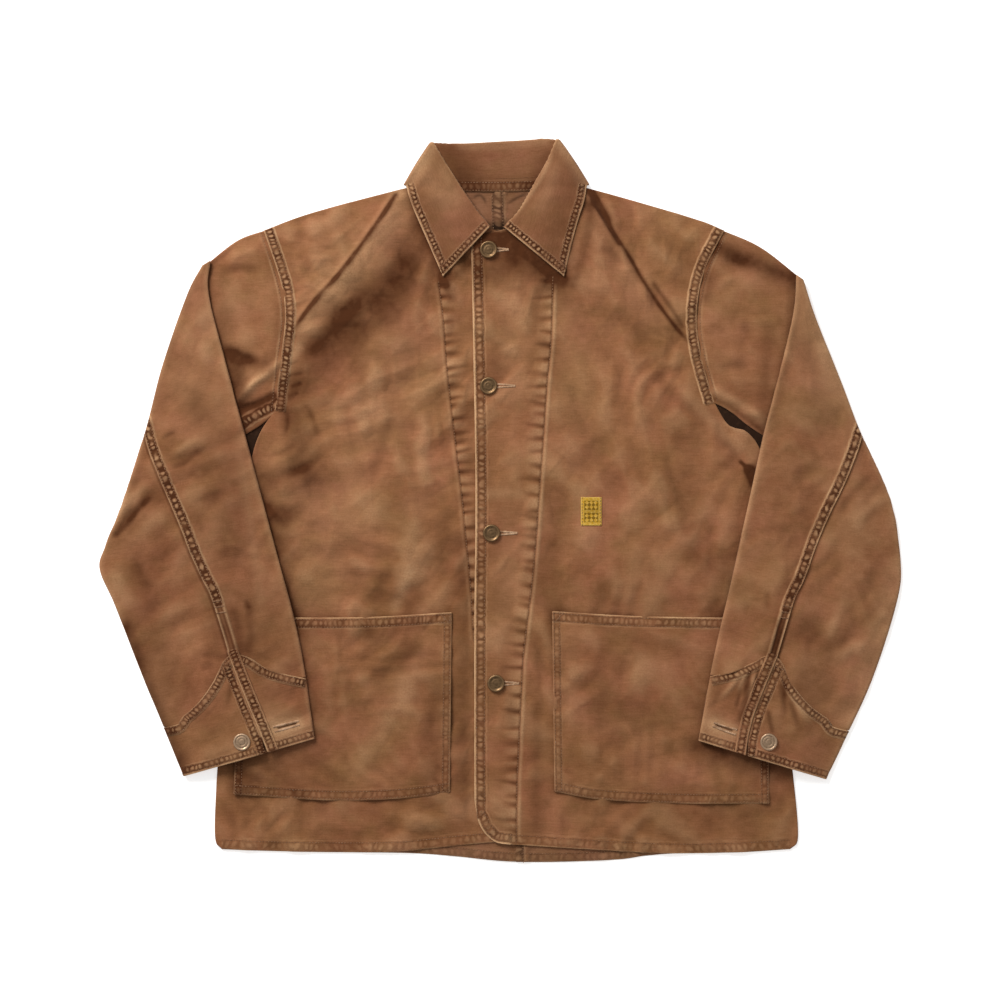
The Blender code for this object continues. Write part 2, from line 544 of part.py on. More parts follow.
class Sleeve:
    """One folded-down sleeve, read as sections from the shoulder to the cuff."""

    def __init__(self, outer, inner, underlay, back_seam, cuff_height):
        self.outer, self.inner, self.underlay = outer, inner, underlay
        self.back_seam = np.array(back_seam)
        self.cuff_height = np.array(cuff_height)
        outer_line = smooth_line(outer)
        self.length = np.linalg.norm(np.diff(outer_line, axis=0), axis=1).sum()

    def width(self, v):
        """Distance between the edges at the share v of the sleeve's length."""
        at = np.array([v])
        return float(np.linalg.norm(along(self.outer, at) - along(self.inner, at)))

    def seam_place(self, v):
        """Where the back seam crosses the section at v."""
        return float(np.interp(v, self.back_seam[:, 0], self.back_seam[:, 1]))

    def cuff_start(self, places):
        """Share of the length at which the cuff begins, for places round the section."""
        height = np.interp(np.mod(places, 2), self.cuff_height[:, 0], self.cuff_height[:, 1])
        return 1 - height / self.length

    def points(self, v, places):
        """Middle-layer points at the shares v and the places round the section."""
        turn = np.mod(places, 2)
        across = np.where(turn <= 1, turn, 2 - turn)
        side = np.where(turn <= 1, 1, -1)
        outer, inner = along(self.outer, v), along(self.inner, v)
        plan = inner + (outer - inner) * across[:, None]
        reach = np.minimum(across, 1 - across) * np.linalg.norm(outer - inner, axis=1)
        lift = np.sqrt(1 - (1 - np.clip(reach / EDGE_ROUND, 0, 1)) ** 2)
        x, y = plan[:, 0], plan[:, 1]
        middle = sleeve_under_mid(x, y, self.underlay) + SLEEVE_HALF
        folds = np.where(side > 0, fold_height(x, y, SLEEVE_FOLDS) * lift, 0)
        return np.column_stack([plan, middle + side * SLEEVE_HALF * lift + folds])

    def top_height(self, x, y):
        """Middle of the upper layer away from the edges."""
        return sleeve_under_mid(x, y, self.underlay) + 2 * SLEEVE_HALF + fold_height(x, y, SLEEVE_FOLDS)

    def panel(self, places_of):
        """Rows of a sleeve panel that ends at the cuff's curved seam."""
        rows = []
        for share in np.linspace(0, 1, SLEEVE_ROWS + 1):
            v = share * self.cuff_start(np.array([PANEL_LENGTH_PLACE]))[0]
            places = places_of(self.seam_place(v), self.width(v))
            ends = self.cuff_start(places) - SEAM_GAP / self.length
            rows.append(self.points(share * ends, places))
        return np.array(rows)

    def vent_gap(self, share):
        """Half the vent's width, from its top to the cuff's hem."""
        return VENT_GAP_TOP + (VENT_GAP_HEM - VENT_GAP_TOP) * share

    def cuff(self):
        """Rows of the cuff, from one side of the vent all round to the other."""
        rows = []
        for share in np.linspace(0, 1, CUFF_ROWS + 1):
            seam, width = self.seam_place(1), self.width(1 - CUFF_SHARE * (1 - share))
            gap = self.vent_gap(share) / width
            under = under_places(seam + gap, width)
            top = top_places(seam - gap, width) + 2
            places = np.concatenate([under[:-1], [UNDERARM_SEAM], top[1:]])
            start = self.cuff_start(places) + SEAM_GAP / self.length
            rows.append(self.points(start + (1 - start) * share, places))
        return np.array(rows)

    def placket(self):
        """Rows of the strip on the inner side of the vent, one layer above the cuff."""
        rows = []
        for share in np.linspace(0, 1, CUFF_ROWS + 1):
            seam, width = self.seam_place(1), self.width(1 - CUFF_SHARE * (1 - share))
            stop = seam - self.vent_gap(share) / width
            places = np.linspace(stop - PLACKET_WIDTH / width, stop, 3)
            start = self.cuff_start(places) + SEAM_GAP / self.length
            row = self.points(start + (1 - start) * share, places)
            row[:, 2] += STEP + PLACKET_CLEAR
            rows.append(row)
        return np.array(rows)


def build_sleeves(garment):
    """Both sleeves: head, top and under sleeve, cuff, vent placket and cuff button."""
    material = finish("duck_sleeve", DUCK, 0.9)
    metal = finish("pale_bronze", PALE_BRONZE, 0.45, 0.6)
    sides = (
        ("right", HEAD_RIGHT, CUFF_BUTTON_RIGHT, Sleeve(
            SLEEVE_OUTER_RIGHT, SLEEVE_INNER_RIGHT, UNDERLAY_RIGHT, BACK_SEAM_RIGHT, CUFF_HEIGHT_RIGHT)),
        ("left", HEAD_LEFT, CUFF_BUTTON_LEFT, Sleeve(
            SLEEVE_OUTER_LEFT, SLEEVE_INNER_LEFT, UNDERLAY_LEFT, BACK_SEAM_LEFT, CUFF_HEIGHT_LEFT)),
    )
    for side, head, button, sleeve in sides:
        build_sleeve_head(f"sleeve_head_{side}", head, garment, material)
        cloth(f"top_sleeve_{side}", sleeve.panel(top_places), garment, material)
        cloth(f"under_sleeve_{side}", sleeve.panel(under_places), garment, material)
        cloth(f"cuff_{side}", sleeve.cuff(), garment, material)
        cloth(f"vent_placket_{side}", sleeve.placket(), garment, material)
        base = float(sleeve.top_height(*button)) + WALL / 2 + SEAM_GAP
        tack_button(f"cuff_button_{side}", button, base, CUFF_SHANK, 0.0, garment, metal)


# ---------------------------------------------------------------- collar
def collar_section(neck, roll, edge, turn, outward):
    """Points across the collar strip at one station: stand, roll and fall.

    turn is 90 degrees on the front half of the ring round the neck, 0 at the side crease and
    -90 on the back half. outward points away from the neck at the side crease.
    """
    neck, roll, edge = np.array(neck), np.array(roll), np.array(edge)
    up = (roll - neck) / np.linalg.norm(roll - neck)
    down = (edge - roll) / np.linalg.norm(edge - roll)
    plan = [neck, (neck + roll) / 2, roll - ROLL_REACH * up, roll + ROLL_BULGE * up,
            roll + ROLL_REACH * down, (roll + edge) / 2, edge]
    stand = float(fronts_top_mid(*neck)) + STAND_CLEAR
    leaf = stand + LEAF_OVER_STAND
    leaf_edge = float(fronts_top_mid(*edge)) + LEAF_EDGE_CLEAR
    leaf_middle = max((leaf + leaf_edge) / 2, float(fronts_top_mid(*plan[5])) + LEAF_EDGE_CLEAR)
    front = [stand, stand, stand, (stand + leaf) / 2, leaf, leaf_middle, leaf_edge]
    high, low = BACK_STAND_MID, FLOOR_MID
    back = [high, high + BACK_STAND_BULGE, high + BACK_STAND_BULGE / 2,
            (high + low) / 2 + BACK_ROLL_BULGE,
            low, low, low]
    angle = math.radians(turn)
    points = []
    for (x, y), z_front, z_back in zip(plan, front, back):
        half = (z_front - z_back) / 2
        aside = half * math.cos(angle)
        z = (z_front + z_back) / 2 + half * math.sin(angle)
        points.append((x + aside * outward[0], y + aside * outward[1], z))
    return points


def stations(table, count):
    """A collar table read at evenly spaced stations."""
    lines = [along([row[k] for row in table], np.linspace(0, 1, count)) for k in range(3)]
    return list(zip(*lines))


def build_collar(garment):
    """One strip round the neck: leaves on the fronts, stand inside, fall under the back."""
    out_right, out_left = np.array((-0.84, 0.54)), np.array((0.84, 0.54))
    rows = [collar_section(*s, 90, out_right) for s in stations(COLLAR_RIGHT, COLLAR_FRONT_STATIONS)]
    rows += [collar_section(*COLLAR_RIGHT[-1], turn, out_right) for turn in COLLAR_TURN_DEGREES]
    rows += [collar_section(*s, -90, out_right) for s in stations(COLLAR_BACK, COLLAR_BACK_STATIONS)]
    rows += [collar_section(*COLLAR_LEFT[0], turn, out_left) for turn in COLLAR_TURN_DEGREES[::-1]]
    rows += [collar_section(*s, 90, out_left) for s in stations(COLLAR_LEFT, COLLAR_FRONT_STATIONS)]
    cloth("collar", np.array(rows), garment, finish("duck_collar", DUCK_COLLAR, 0.9))


def build_front_buttons(garment):
    """Four tack buttons fixed to the right front, their shanks through the left front's holes."""
    metal = finish("old_bronze", OLD_BRONZE, 0.45, 0.7)
    for number, (x, y) in enumerate(FRONT_BUTTONS, 1):
        base = float(front_mid(x, y)) + WALL / 2 + SEAM_GAP
        tack_button(f"front_button_{number}", (x, y), base, FRONT_SHANK, BUTTON_DISH, garment, metal)


def main():
    """Builds the whole jacket."""
    garment, cutters = cleared_scene("chore_jacket")
    build_backs(garment)
    build_fronts(garment, cutters)
    build_pockets(garment)
    build_label(garment)
    build_sleeves(garment)
    build_collar(garment)
    build_front_buttons(garment)


if __name__ == "__main__":
    main()
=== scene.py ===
"""Chore jacket of washed duck canvas, laid flat on its back with the sleeves folded down.

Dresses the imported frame: each cloth solid is replaced by a finely modelled shell of the same
form, with its folds, felled seams, stitches, worn edges and metal buttons, in a plain studio.

Lengths are in millimetres and turn into metres where a mesh is made. +X points to the wearer's
left, +Y to the collar and +Z up. "Right" and "left" are the wearer's sides.
"""

import logging
import math
from collections.abc import Callable, Sequence
from dataclasses import dataclass, field
from enum import Enum
from functools import reduce

import bpy
import numpy as np
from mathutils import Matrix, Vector
from mathutils.bvhtree import BVHTree


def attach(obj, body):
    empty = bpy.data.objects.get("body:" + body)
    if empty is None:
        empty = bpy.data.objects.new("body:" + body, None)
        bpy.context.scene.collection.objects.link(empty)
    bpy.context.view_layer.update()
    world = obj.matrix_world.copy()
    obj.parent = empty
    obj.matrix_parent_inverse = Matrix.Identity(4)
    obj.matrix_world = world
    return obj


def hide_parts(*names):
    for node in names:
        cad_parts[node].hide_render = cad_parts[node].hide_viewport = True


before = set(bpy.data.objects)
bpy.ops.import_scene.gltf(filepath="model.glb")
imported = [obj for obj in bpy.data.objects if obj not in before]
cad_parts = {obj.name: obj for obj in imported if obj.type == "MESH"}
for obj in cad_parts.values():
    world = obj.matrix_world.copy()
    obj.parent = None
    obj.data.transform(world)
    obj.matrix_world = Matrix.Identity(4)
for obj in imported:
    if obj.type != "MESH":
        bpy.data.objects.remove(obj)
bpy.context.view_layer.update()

LOG = logging.getLogger("chore_jacket")
BODY = "root"

Array = np.ndarray
Point = tuple[float, float]
Points = Sequence[Point]
Stations = tuple[tuple[Point, Point, Point], ...]
Object = bpy.types.Object
Material = bpy.types.Material
Socket = bpy.types.NodeSocket

# ---------------------------------------------------------------- driving sizes, mm
MM = 0.001
WALL = 1.2  # thickness of one cloth wall
SEAM_GAP = 0.3  # clearance between neighbouring pieces
STEP = WALL + SEAM_GAP  # from one layer's middle to the next one's
FLOOR_MID = WALL / 2  # middle of a layer that lies on the surface
AIR, AIR_REACH = 1.7, 34.0  # how far the fronts swell off the back, and how gradually
FALL_LIFT = (240, 296)  # Y where the back climbs onto the collar's fall
LAP_RISE = (-62, -40)  # X where whatever lies on the fronts climbs onto the lap
LAP_DROP = (24, 52)  # X where the left front comes down beside the lap
LAP_LID = (-48, -33)  # X where the right front goes down under the left one

SLEEVE_HALF = 1.7  # half the height between a flattened sleeve's layers
EDGE_ROUND = 3.6  # reach of a sleeve's rounded edge
SLEEVE_CLEAR = 0.4  # clearance between a sleeve and what it lies on
DRAPE_FROM, DRAPE_OVER = 14, 44  # a sleeve comes down to the surface beside what it lies on
UNDERARM_SEAM = 1.85  # place of the underarm seam round a sleeve's section
PLACKET_WIDTH = 12  # width of the stitched strip on the vent's edge
STRIP_TOP = 0.787  # share of the sleeve's length at which the vent's strip begins
# Shares of the sleeve's length at which the back seam starts to show, is tacked, and meets the cuff.
SEAM_TOP, SEAM_TACK, VENT_END = 0.28, 0.70, 0.80
FELL_RISE = 1.35  # what a felled seam adds to the cloth's height
POCKET_MARGIN, POCKET_OVER = 26, 30  # where a sleeve climbs onto a pocket

CREASE_HEIGHT, CREASE_SHADE = 1.2, 0.52  # what the creases' heights and shades below are multiplied by
UNDERSIDE_STEP = 4  # the hidden face of a wall has one grid line for this many on the seen face


class Side(Enum):
    """The wearer's side that a piece belongs to."""

    RIGHT = "right"
    LEFT = "left"

    def __str__(self) -> str:
        """The side's name."""
        return self.value

    @property
    def sign(self) -> int:
        """Direction of the side along X."""
        return 1 if self is LEFT else -1


RIGHT, LEFT = Side

# Strength of the shadow painted on the cloth close beside a sleeve that lies on it.
FRONT_SHADOW, POCKET_SHADOW, HEAD_SHADOW = {RIGHT: 0.55, LEFT: 0.4}, {RIGHT: 0.6, LEFT: 0.4}, {RIGHT: 0.75, LEFT: 0.35}
# How far that painted shadow spreads, in mm.
SHADOW_REACH = 8.0

# ---------------------------------------------------------------- outlines, (x, y) in mm
SHOULDER = {
    RIGHT: ((-251.2, 285.7), (-213, 300.5), (-165.4, 314.3), (-101.8, 330.6), (-81.6, 334.5)),
    LEFT: ((236.4, 285.7), (210.9, 296.3), (147.3, 315.4), (92.2, 330.6), (71, 334.5)),
}
NECK = {
    RIGHT: ((-81.6, 334.5), (-71, 320.7), (-54, 306.9), (-32.9, 295.2), (7.4, 281.4)),
    LEFT: ((71, 334.5), (60.4, 320.7), (46.6, 307.9), (25.4, 295.2), (4.2, 287.3), (-31.8, 280.4)),
}
ARMHOLE = {
    RIGHT: ((-239.6, 95.9), (-233.2, 151), (-228.6, 194), (-233.2, 230.6), (-251.2, 285.7)),
    LEFT: ((225.8, 104.4), (212, 154.2), (207.4, 198), (215.2, 242.2), (236.4, 285.7)),
}
SIDE_SEAM = {
    RIGHT: ((-295.7, -369.4), (-303.2, -349.3), (-296.8, -232.7), (-281, -63), (-266, 35), (-256, 70),
            (-239.6, 95.9)),
    LEFT: ((306.3, -369.4), (314.8, -349.3), (302.1, -232.7), (279, -73.7), (275, 0), (276, 42), (272, 59),
           (259, 73.5), (241, 80), (225.8, 104.4)),
}
HEM = {
    RIGHT: ((-295.7, -369.4), (-255.5, -371), (-181.3, -372.6), (-107, -371.5), (-31.8, -364.1),
            (11.7, -360.9)),
    LEFT: ((306.3, -369.4), (253.3, -372.6), (173.8, -373.7), (90.1, -369.4), (9.5, -364.1)),
}
EDGE = {
    RIGHT: ((11.7, -360.9), (11.7, -41.9), (7.4, 281.4)),
    LEFT: ((-28.1, -317.5), (-28.1, -126.7), (-27, 0.5), (-28.6, 127.7), (-31.8, 280.4)),
}

FRONT_CORNER = ((9.5, -364.1), (-5.3, -362), (-17, -352.5), (-24.4, -338.7), (-28.1, -317.5))

BACK_SIDE = {
    RIGHT: ((-295.7, -369.4), (-303.2, -349.3), (-296.8, -232.7), (-284, -63), (-283, 20), (-281, 62),
            (-262, 84), (-239.6, 94.4)),
    LEFT: ((306.3, -369.4), (314.8, -349.3), (302.1, -232.7), (283, -73.7), (285, 10), (286, 60), (280, 75),
           (262, 88.5), (245, 98), (225.8, 102.9)),
}
BACK_NECK = {
    RIGHT: ((-81.6, 334.5), (-68.9, 334), (-40.3, 334.6), (-3.85, 335)),
    LEFT: ((71, 334.5), (58.3, 334.2), (35, 334.8), (-3.55, 335)),
}
CENTRE_BACK = ((19.1, -383.1), (8, -27), (-3.7, 335))
BACK_HEM = {
    RIGHT: ((-295.7, -369.4), (-181.3, -372.6), (-85.9, -374.2), (-5.3, -381.6), (18.95, -383.1)),
    LEFT: ((306.3, -369.4), (173.8, -374.7), (126.1, -380.5), (60, -383.1), (19.25, -383.1)),
}

SLEEVE_OUTER = {
    RIGHT: ((-315.5, 249), (-332, 218), (-358.3, 143.6), (-376.3, 74.7), (-401.7, -4.8), (-419, -48),
            (-424.6, -73), (-408.5, -112), (-378, -190), (-363, -226), (-336, -292)),
    LEFT: ((319.5, 234), (332.8, 193.5), (361.5, 122.4), (380.5, 72.6), (412.3, 0.5), (422.7, -62),
           (419.5, -107), (392.5, -190.3), (363, -255), (344, -295.2)),
}
SLEEVE_INNER = {
    RIGHT: ((-308, 253.5), (-309.5, 217.8), (-289.4, 138.3), (-263.9, 42.9), (-239.6, -47.2),
            (-213.1, -150), (-197.2, -251.8)),
    LEFT: ((313, 238.5), (310, 200), (295.7, 138.3), (276.7, 64.1), (251.2, -52.5), (226.8, -158.5),
           (208.8, -253.9)),
}
UNDERLAY = {
    RIGHT: ((-303, -350), (-297, -233), (-289.5, -148), (-284, -63), (-280, 20), (-278, 72), (-291, 120),
            (-303, 180), (-307, 252)),
    LEFT: ((315, -350), (302, -233), (290, -158), (283, -74), (282, 10), (281, 62), (295, 120), (307, 180),
           (314, 240)),
}
# Columns: share of the sleeve's length, place round the section (0 inner edge, 1 outer edge).
BACK_SEAM = {
    RIGHT: ((0.0, 1.3), (0.28, 1.1), (0.31, 0.995), (0.364, 0.852), (0.418, 0.715), (0.495, 0.563),
            (0.572, 0.455), (0.646, 0.42), (0.70, 0.405), (1.0, 0.407)),
    LEFT: ((0.0, 1.3), (0.265, 1.1), (0.297, 0.998), (0.359, 0.80), (0.416, 0.653), (0.483, 0.521),
           (0.557, 0.433), (0.631, 0.387), (0.70, 0.355), (1.0, 0.345)),
}
# Columns: place round the section, height of the cuff there.
CUFF_HEIGHT = {
    RIGHT: ((0.0, 72), (0.13, 83), (0.24, 95), (0.32, 110), (0.40, 117), (0.475, 114), (0.575, 94),
            (0.70, 76), (0.85, 63), (1.0, 56), (2.0, 72)),
    LEFT: ((0.0, 78), (0.14, 91), (0.255, 107), (0.30, 115), (0.37, 118), (0.43, 112), (0.48, 101),
           (0.56, 87), (0.69, 73), (0.82, 65), (1.0, 57), (2.0, 78)),
}
# Columns: share of the sleeve's length, place round the section of the vent's stitched edge.
VENT_EDGE = {
    RIGHT: ((0.785, 0.447), (0.842, 0.431), (0.897, 0.407), (0.949, 0.379), (1.0, 0.353)),
    LEFT: ((0.785, 0.387), (0.829, 0.371), (0.88, 0.353), (0.922, 0.341), (0.96, 0.345), (1.0, 0.365)),
}

# Edges of the sleeve heads: at the shoulder, at the underarm and outside, then those of the layer behind.
HEAD_TOP = {
    RIGHT: ((-248, 285.7), (-279, 274.3), (-314, 247.5)),
    LEFT: ((233.2, 285.7), (275, 267), (318, 234)),
}
HEAD_BOTTOM = {
    RIGHT: ((-236.4, 95.9), (-254, 80), (-284, 62)),
    LEFT: ((222.6, 104.4), (235, 99), (248, 90.5), (262, 79), (288, 62)),
}
HEAD_OUTER = {
    RIGHT: ((-284, 62), (-299, 120), (-311, 180), (-314, 247.5)),
    LEFT: ((288, 62), (303, 120), (315, 180), (318, 234)),
}
HEAD_BACK_BOTTOM = {
    RIGHT: ((-240.3, 97.5), (-260, 89), (-282, 76)),
    LEFT: ((226.5, 106), (245, 101), (262, 92), (286, 77)),
}
HEAD_BACK_OUTER = {
    RIGHT: ((-282, 76), (-292, 120), (-302, 180), (-314, 247.5)),
    LEFT: ((286, 77), (296, 120), (307, 180), (318, 234)),
}
HEAD_SEAM_GAP, HEAD_BACK_OVERLAP = 3.2, 0.7  # how far a head keeps off the armhole, and laps it behind

POCKET_SPAN_X, POCKET_SPAN_Y = (50, 286), (-322, -116)  # what the pockets cover, either side of the middle
POCKET_TOP = {
    RIGHT: ((-276.7, -123.5), (-149.5, -123.5), (-51.9, -118.2)),
    LEFT: ((280.9, -124.6), (147.3, -122.4), (54.1, -117.1)),
}
POCKET_BOTTOM = {
    RIGHT: ((-283, -311), (-181.3, -317.5), (-107, -315.5), (-54.1, -309)),
    LEFT: ((284.1, -320.7), (189.7, -320.7), (104.9, -316.4), (56.5, -308)),
}

# Columns: the collar's neck, roll and outer edge, from the right front round the back to the left front.
COLLAR_STATIONS = (
    ((-22, 280.5), (-12.5, 288.6), (-61.5, 236.9)),
    ((-37, 296.2), (-26.5, 305.8), (-75.3, 268.7)),
    ((-52, 304.7), (-40.3, 326), (-87, 295.2)),
    ((-67.8, 317.5), (-57.2, 352.5), (-95.4, 315.4)),
    ((-79.4, 337), (-72, 377.5), (-100.6, 333.6)),
    ((-59.4, 328.4), (-48.8, 376.4), (-64.7, 329)),
    ((-22.3, 327), (-22.3, 377.2), (-22.3, 326)),
    ((20.1, 327.5), (20.1, 379.6), (20.1, 326)),
    ((48, 329.5), (45, 381.6), (55, 329)),
    ((68.9, 337), (59, 380.5), (91, 334)),
    ((58.3, 318.5), (48.8, 356.7), (88, 316.4)),
    ((42.4, 304.7), (33.9, 330.2), (81.6, 296.3)),
    ((28.6, 293.1), (19.6, 305), (74.2, 268.7)),
    ((14, 280.4), (4.2, 288), (66.8, 236.9)),
)
COLLAR_TURNS = (4, 9)  # the stations at which it turns from the right front to the back and to the left front

# Buttons and the lengths of the front's buttonholes, from the collar down.
FRONT_BUTTONS = ((-13.2, 265.5), (-13.2, 121.4), (-10.1, -34.5), (-5.3, -193.5))
HOLE_LENGTHS = (21, 28, 27, 24)
CUFF_BUTTONS = {RIGHT: (-273.5, -254.9), LEFT: (282.5, -254.9)}


class Ends(Enum):
    """Which ends of a crease die away."""

    BOTH = (True, True)
    START = (True, False)
    STOP = (False, True)
    NONE = (False, False)

    def fade(self, share: Array, over: float) -> Array:
        """Weight along a crease, 0 at an end that dies away.

        Args:
            share: Place along the crease, from 0 to 1.
            over: Share of the length over which an end dies away.

        Returns:
            A weight from 0 to 1 for each place.
        """
        starts, stops = self.value
        weight = np.ones_like(share)
        if starts:
            weight = weight * ease(0.0, over, share)
        if stops:
            weight = weight * (1 - ease(1 - over, 1.0, share))
        return weight


# ---------------------------------------------------------------- curves and fields
def ease(start: float, stop: float, x: Array) -> Array:
    """0 before start, 1 after stop, and smooth between them."""
    t = np.clip((np.asarray(x, float) - start) / (stop - start), 0, 1)
    return t * t * (3 - 2 * t)


def smooth_line(points: Points | Array, steps: int = 12) -> Array:
    """Points of a Catmull-Rom curve through the given ones.

    Args:
        points: The points that the curve passes through, with any number of coordinates.
        steps: Number of steps between two of them.

    Returns:
        The curve's points, one row each.
    """
    points = np.asarray(points, float)
    whole = np.concatenate([2 * points[:1] - points[1:2], points, 2 * points[-1:] - points[-2:-1]])
    t = np.linspace(0, 1, steps, endpoint=False).reshape((-1,) + (1,) * (points.ndim - 1))
    runs = []
    for p0, p1, p2, p3 in zip(whole, whole[1:], whole[2:], whole[3:]):
        curve = 2 * p1 + (p2 - p0) * t + (2 * p0 - 5 * p1 + 4 * p2 - p3) * t**2
        runs.append((curve + (3 * p1 - p0 - 3 * p2 + p3) * t**3) / 2)
    return np.concatenate(runs + [points[-1:]])


class Curve:
    """A smooth curve through a few points, measured along its length."""

    def __init__(self, points: Points | Array, smooth: bool = True) -> None:
        """Reads the curve.

        Args:
            points: The points that it passes through.
            smooth: False for points that are already close together.
        """
        self.line = smooth_line(points) if smooth else np.asarray(points, float)
        self.runs = np.diff(self.line, axis=0)
        self.run_lengths = np.linalg.norm(self.runs, axis=1)
        self.reach = np.concatenate([[0.0], np.cumsum(self.run_lengths)])
        self.length = float(self.reach[-1])

    def at(self, share: Array | float) -> Array:
        """Points at the given shares of the curve's length.

        Args:
            share: Shares of the length.

        Returns:
            The points, one row each.
        """
        where = np.clip(np.atleast_1d(share), 0, 1) * self.length
        columns = [np.interp(where, self.reach, self.line[:, k]) for k in range(self.line.shape[1])]
        return np.stack(columns, axis=-1)

    def offset(self, distance: float, step: float = 2.0) -> Array:
        """Evenly spaced points beside the curve, on its left where the distance is positive.

        Args:
            distance: How far beside the curve.
            step: About how far apart.

        Returns:
            The points, one row each.
        """
        share = np.linspace(0, 1, max(2, round(self.length / step)))
        points = self.at(share)
        ahead = self.at(np.clip(share + 0.004, 0, 1)) - self.at(np.clip(share - 0.004, 0, 1))
        ahead = ahead / np.linalg.norm(ahead, axis=1, keepdims=True)
        return points + distance * np.column_stack([-ahead[:, 1], ahead[:, 0]])

    def near(self, x: Array, y: Array, reach: float) -> tuple[Array, Array, Array]:
        """Finds the points near the curve.

        Args:
            x: Plan coordinate of each point.
            y: The other one.
            reach: Distance within which points are looked at.

        Returns:
            Their indices, the lengths along the curve to the nearest place on it, and the
            distances from it, positive on its left.
        """
        low, high = self.line.min(axis=0) - reach, self.line.max(axis=0) + reach
        found = np.flatnonzero((x > low[0]) & (x < high[0]) & (y > low[1]) & (y < high[1]))
        along, aside = np.empty(found.size), np.empty(found.size)
        square = np.maximum(self.run_lengths**2, 1e-9)
        for part in np.array_split(np.arange(found.size), found.size // 16000 + 1):
            qx = x[found[part], None] - self.line[:-1, 0]
            qy = y[found[part], None] - self.line[:-1, 1]
            t = np.clip((qx * self.runs[:, 0] + qy * self.runs[:, 1]) / square, 0, 1)
            gap = (qx - t * self.runs[:, 0]) ** 2 + (qy - t * self.runs[:, 1]) ** 2
            best = gap.argmin(axis=1)
            row = np.arange(best.size)
            along[part] = self.reach[best] + t[row, best] * self.run_lengths[best]
            turn = self.runs[best, 0] * qy[row, best] - self.runs[best, 1] * qx[row, best]
            aside[part] = np.sqrt(gap[row, best]) * np.where(turn < 0, -1, 1)
        keep = np.abs(aside) < reach
        return found[keep], along[keep], aside[keep]


class Region:
    """A closed plan outline."""

    def __init__(self, *edges: Points) -> None:
        """Joins smooth edges, given in order round the outline."""
        line = np.concatenate([smooth_line(edge, 8) for edge in edges])
        self.border = Curve(np.concatenate([line, line[:1]]), smooth=False)

    def depth(self, x: Array, y: Array, reach: float) -> Array:
        """How far inside the outline each point lies, up to a reach, and 0 outside it.

        Args:
            x: Plan coordinates.
            y: The others.
            reach: Depth at which it stops.

        Returns:
            A depth for each point.
        """
        inside = np.zeros(x.shape, bool)
        line = self.border.line
        for (x0, y0), (x1, y1) in zip(line, line[1:]):
            if y0 != y1:
                cross = ((y0 > y) != (y1 > y)) & (x < x0 + (y - y0) / (y1 - y0) * (x1 - x0))
                inside ^= cross
        depth = np.where(inside, reach, 0.0)
        found, _, aside = self.border.near(x, y, reach)
        depth[found] = np.where(inside[found], np.abs(aside), 0)
        return depth


@dataclass(frozen=True)
class Noise:
    """Smooth uneven values between about -1 and 1, the same on every run."""

    size: float
    seed: int
    stretch: float = 1.0

    def at(self, x: Array, y: Array) -> Array:
        """Values at plan points, in lumps of the given size, longer along X where stretched.

        Args:
            x: Plan coordinates.
            y: The others.

        Returns:
            A value for each point.
        """
        table = np.random.RandomState(self.seed).uniform(-1, 1, (64, 64))
        u, v = np.asarray(x) / (self.size * self.stretch), np.asarray(y) / self.size
        i, j = np.floor(u).astype(int), np.floor(v).astype(int)
        fu, fv = u - i, v - j
        fu, fv = fu**3 * (fu * (fu * 6 - 15) + 10), fv**3 * (fv * (fv * 6 - 15) + 10)
        i0, i1, j0, j1 = i % 64, (i + 1) % 64, j % 64, (j + 1) % 64
        low = table[i0, j0] * (1 - fu) + table[i1, j0] * fu
        high = table[i0, j1] * (1 - fu) + table[i1, j1] * fu
        return (low * (1 - fv) + high * fv) * 1.3


# ---------------------------------------------------------------- relief of the cloth
@dataclass
class Relief:
    """What happens to cloth at plan points: its height, and how dark or worn it is there.

    The darkness is mostly painted shade; the wear includes some painted highlights.
    """

    x: Array
    y: Array
    height: Array = field(init=False)
    shade: Array = field(init=False)
    wear: Array = field(init=False)
    seam: Array = field(init=False)

    def __post_init__(self) -> None:
        """Starts flat and even."""
        self.x, self.y = np.asarray(self.x, float).ravel(), np.asarray(self.y, float).ravel()
        self.height, self.shade, self.wear = (np.zeros(self.x.size) for _ in range(3))
        self.seam = np.zeros((self.x.size, 3))

    def marks(self, shape: tuple[int, int]) -> dict[str, Array]:
        """Darkness, wear and places in the stitched bands, as grids of the given shape."""
        return {"shade": self.shade.reshape(shape), "wear": self.wear.reshape(shape),
                "seam": self.seam.reshape(*shape, 3)}

    def paint_shadow(self, covers: Sequence["Region"], force: float = 0.55, reach: float = 7.0) -> "Relief":
        """Paints shadow on the cloth close beside whatever lies on it, and returns it.

        Args:
            covers: Outlines of what lies on it.
            force: Darkness of the painted shadow at their borders.
            reach: How far it spreads.

        Returns:
            This cloth.
        """
        for cover in covers:
            found, _, aside = cover.border.near(self.x, self.y, 2.5 * reach)
            self.shade[found] += force * np.exp(-np.abs(aside) / reach)
        return self

    def add(self, found: Array, height: Array, shade: Array, wear: Array) -> None:
        """Adds to the points with the given indices.

        Args:
            found: The indices.
            height: Heights.
            shade: Darkness.
            wear: Wear.
        """
        self.height[found] += height
        self.shade[found] += shade
        self.wear[found] += wear

    def shade_hollows_fade_tops(self, hollows: float = 0.14, tops: float = 0.12) -> "Relief":
        """Paints shade into the hollows, fades the tops as washing does, and returns the cloth.

        Args:
            hollows: Darkness of the shade painted in the hollows.
            tops: Wear of the tops.

        Returns:
            This cloth.
        """
        self.shade += hollows * np.clip(-self.height - 0.1, 0, 1.4)
        self.wear += tops * np.clip(self.height - 0.15, 0, 1.4)
        return self

    def take(self, features: Sequence["Feature"]) -> "Relief":
        """Presses each feature into the cloth and returns it.

        Args:
            features: The features.

        Returns:
            This cloth.
        """
        for feature in features:
            feature.press(self)
        return self


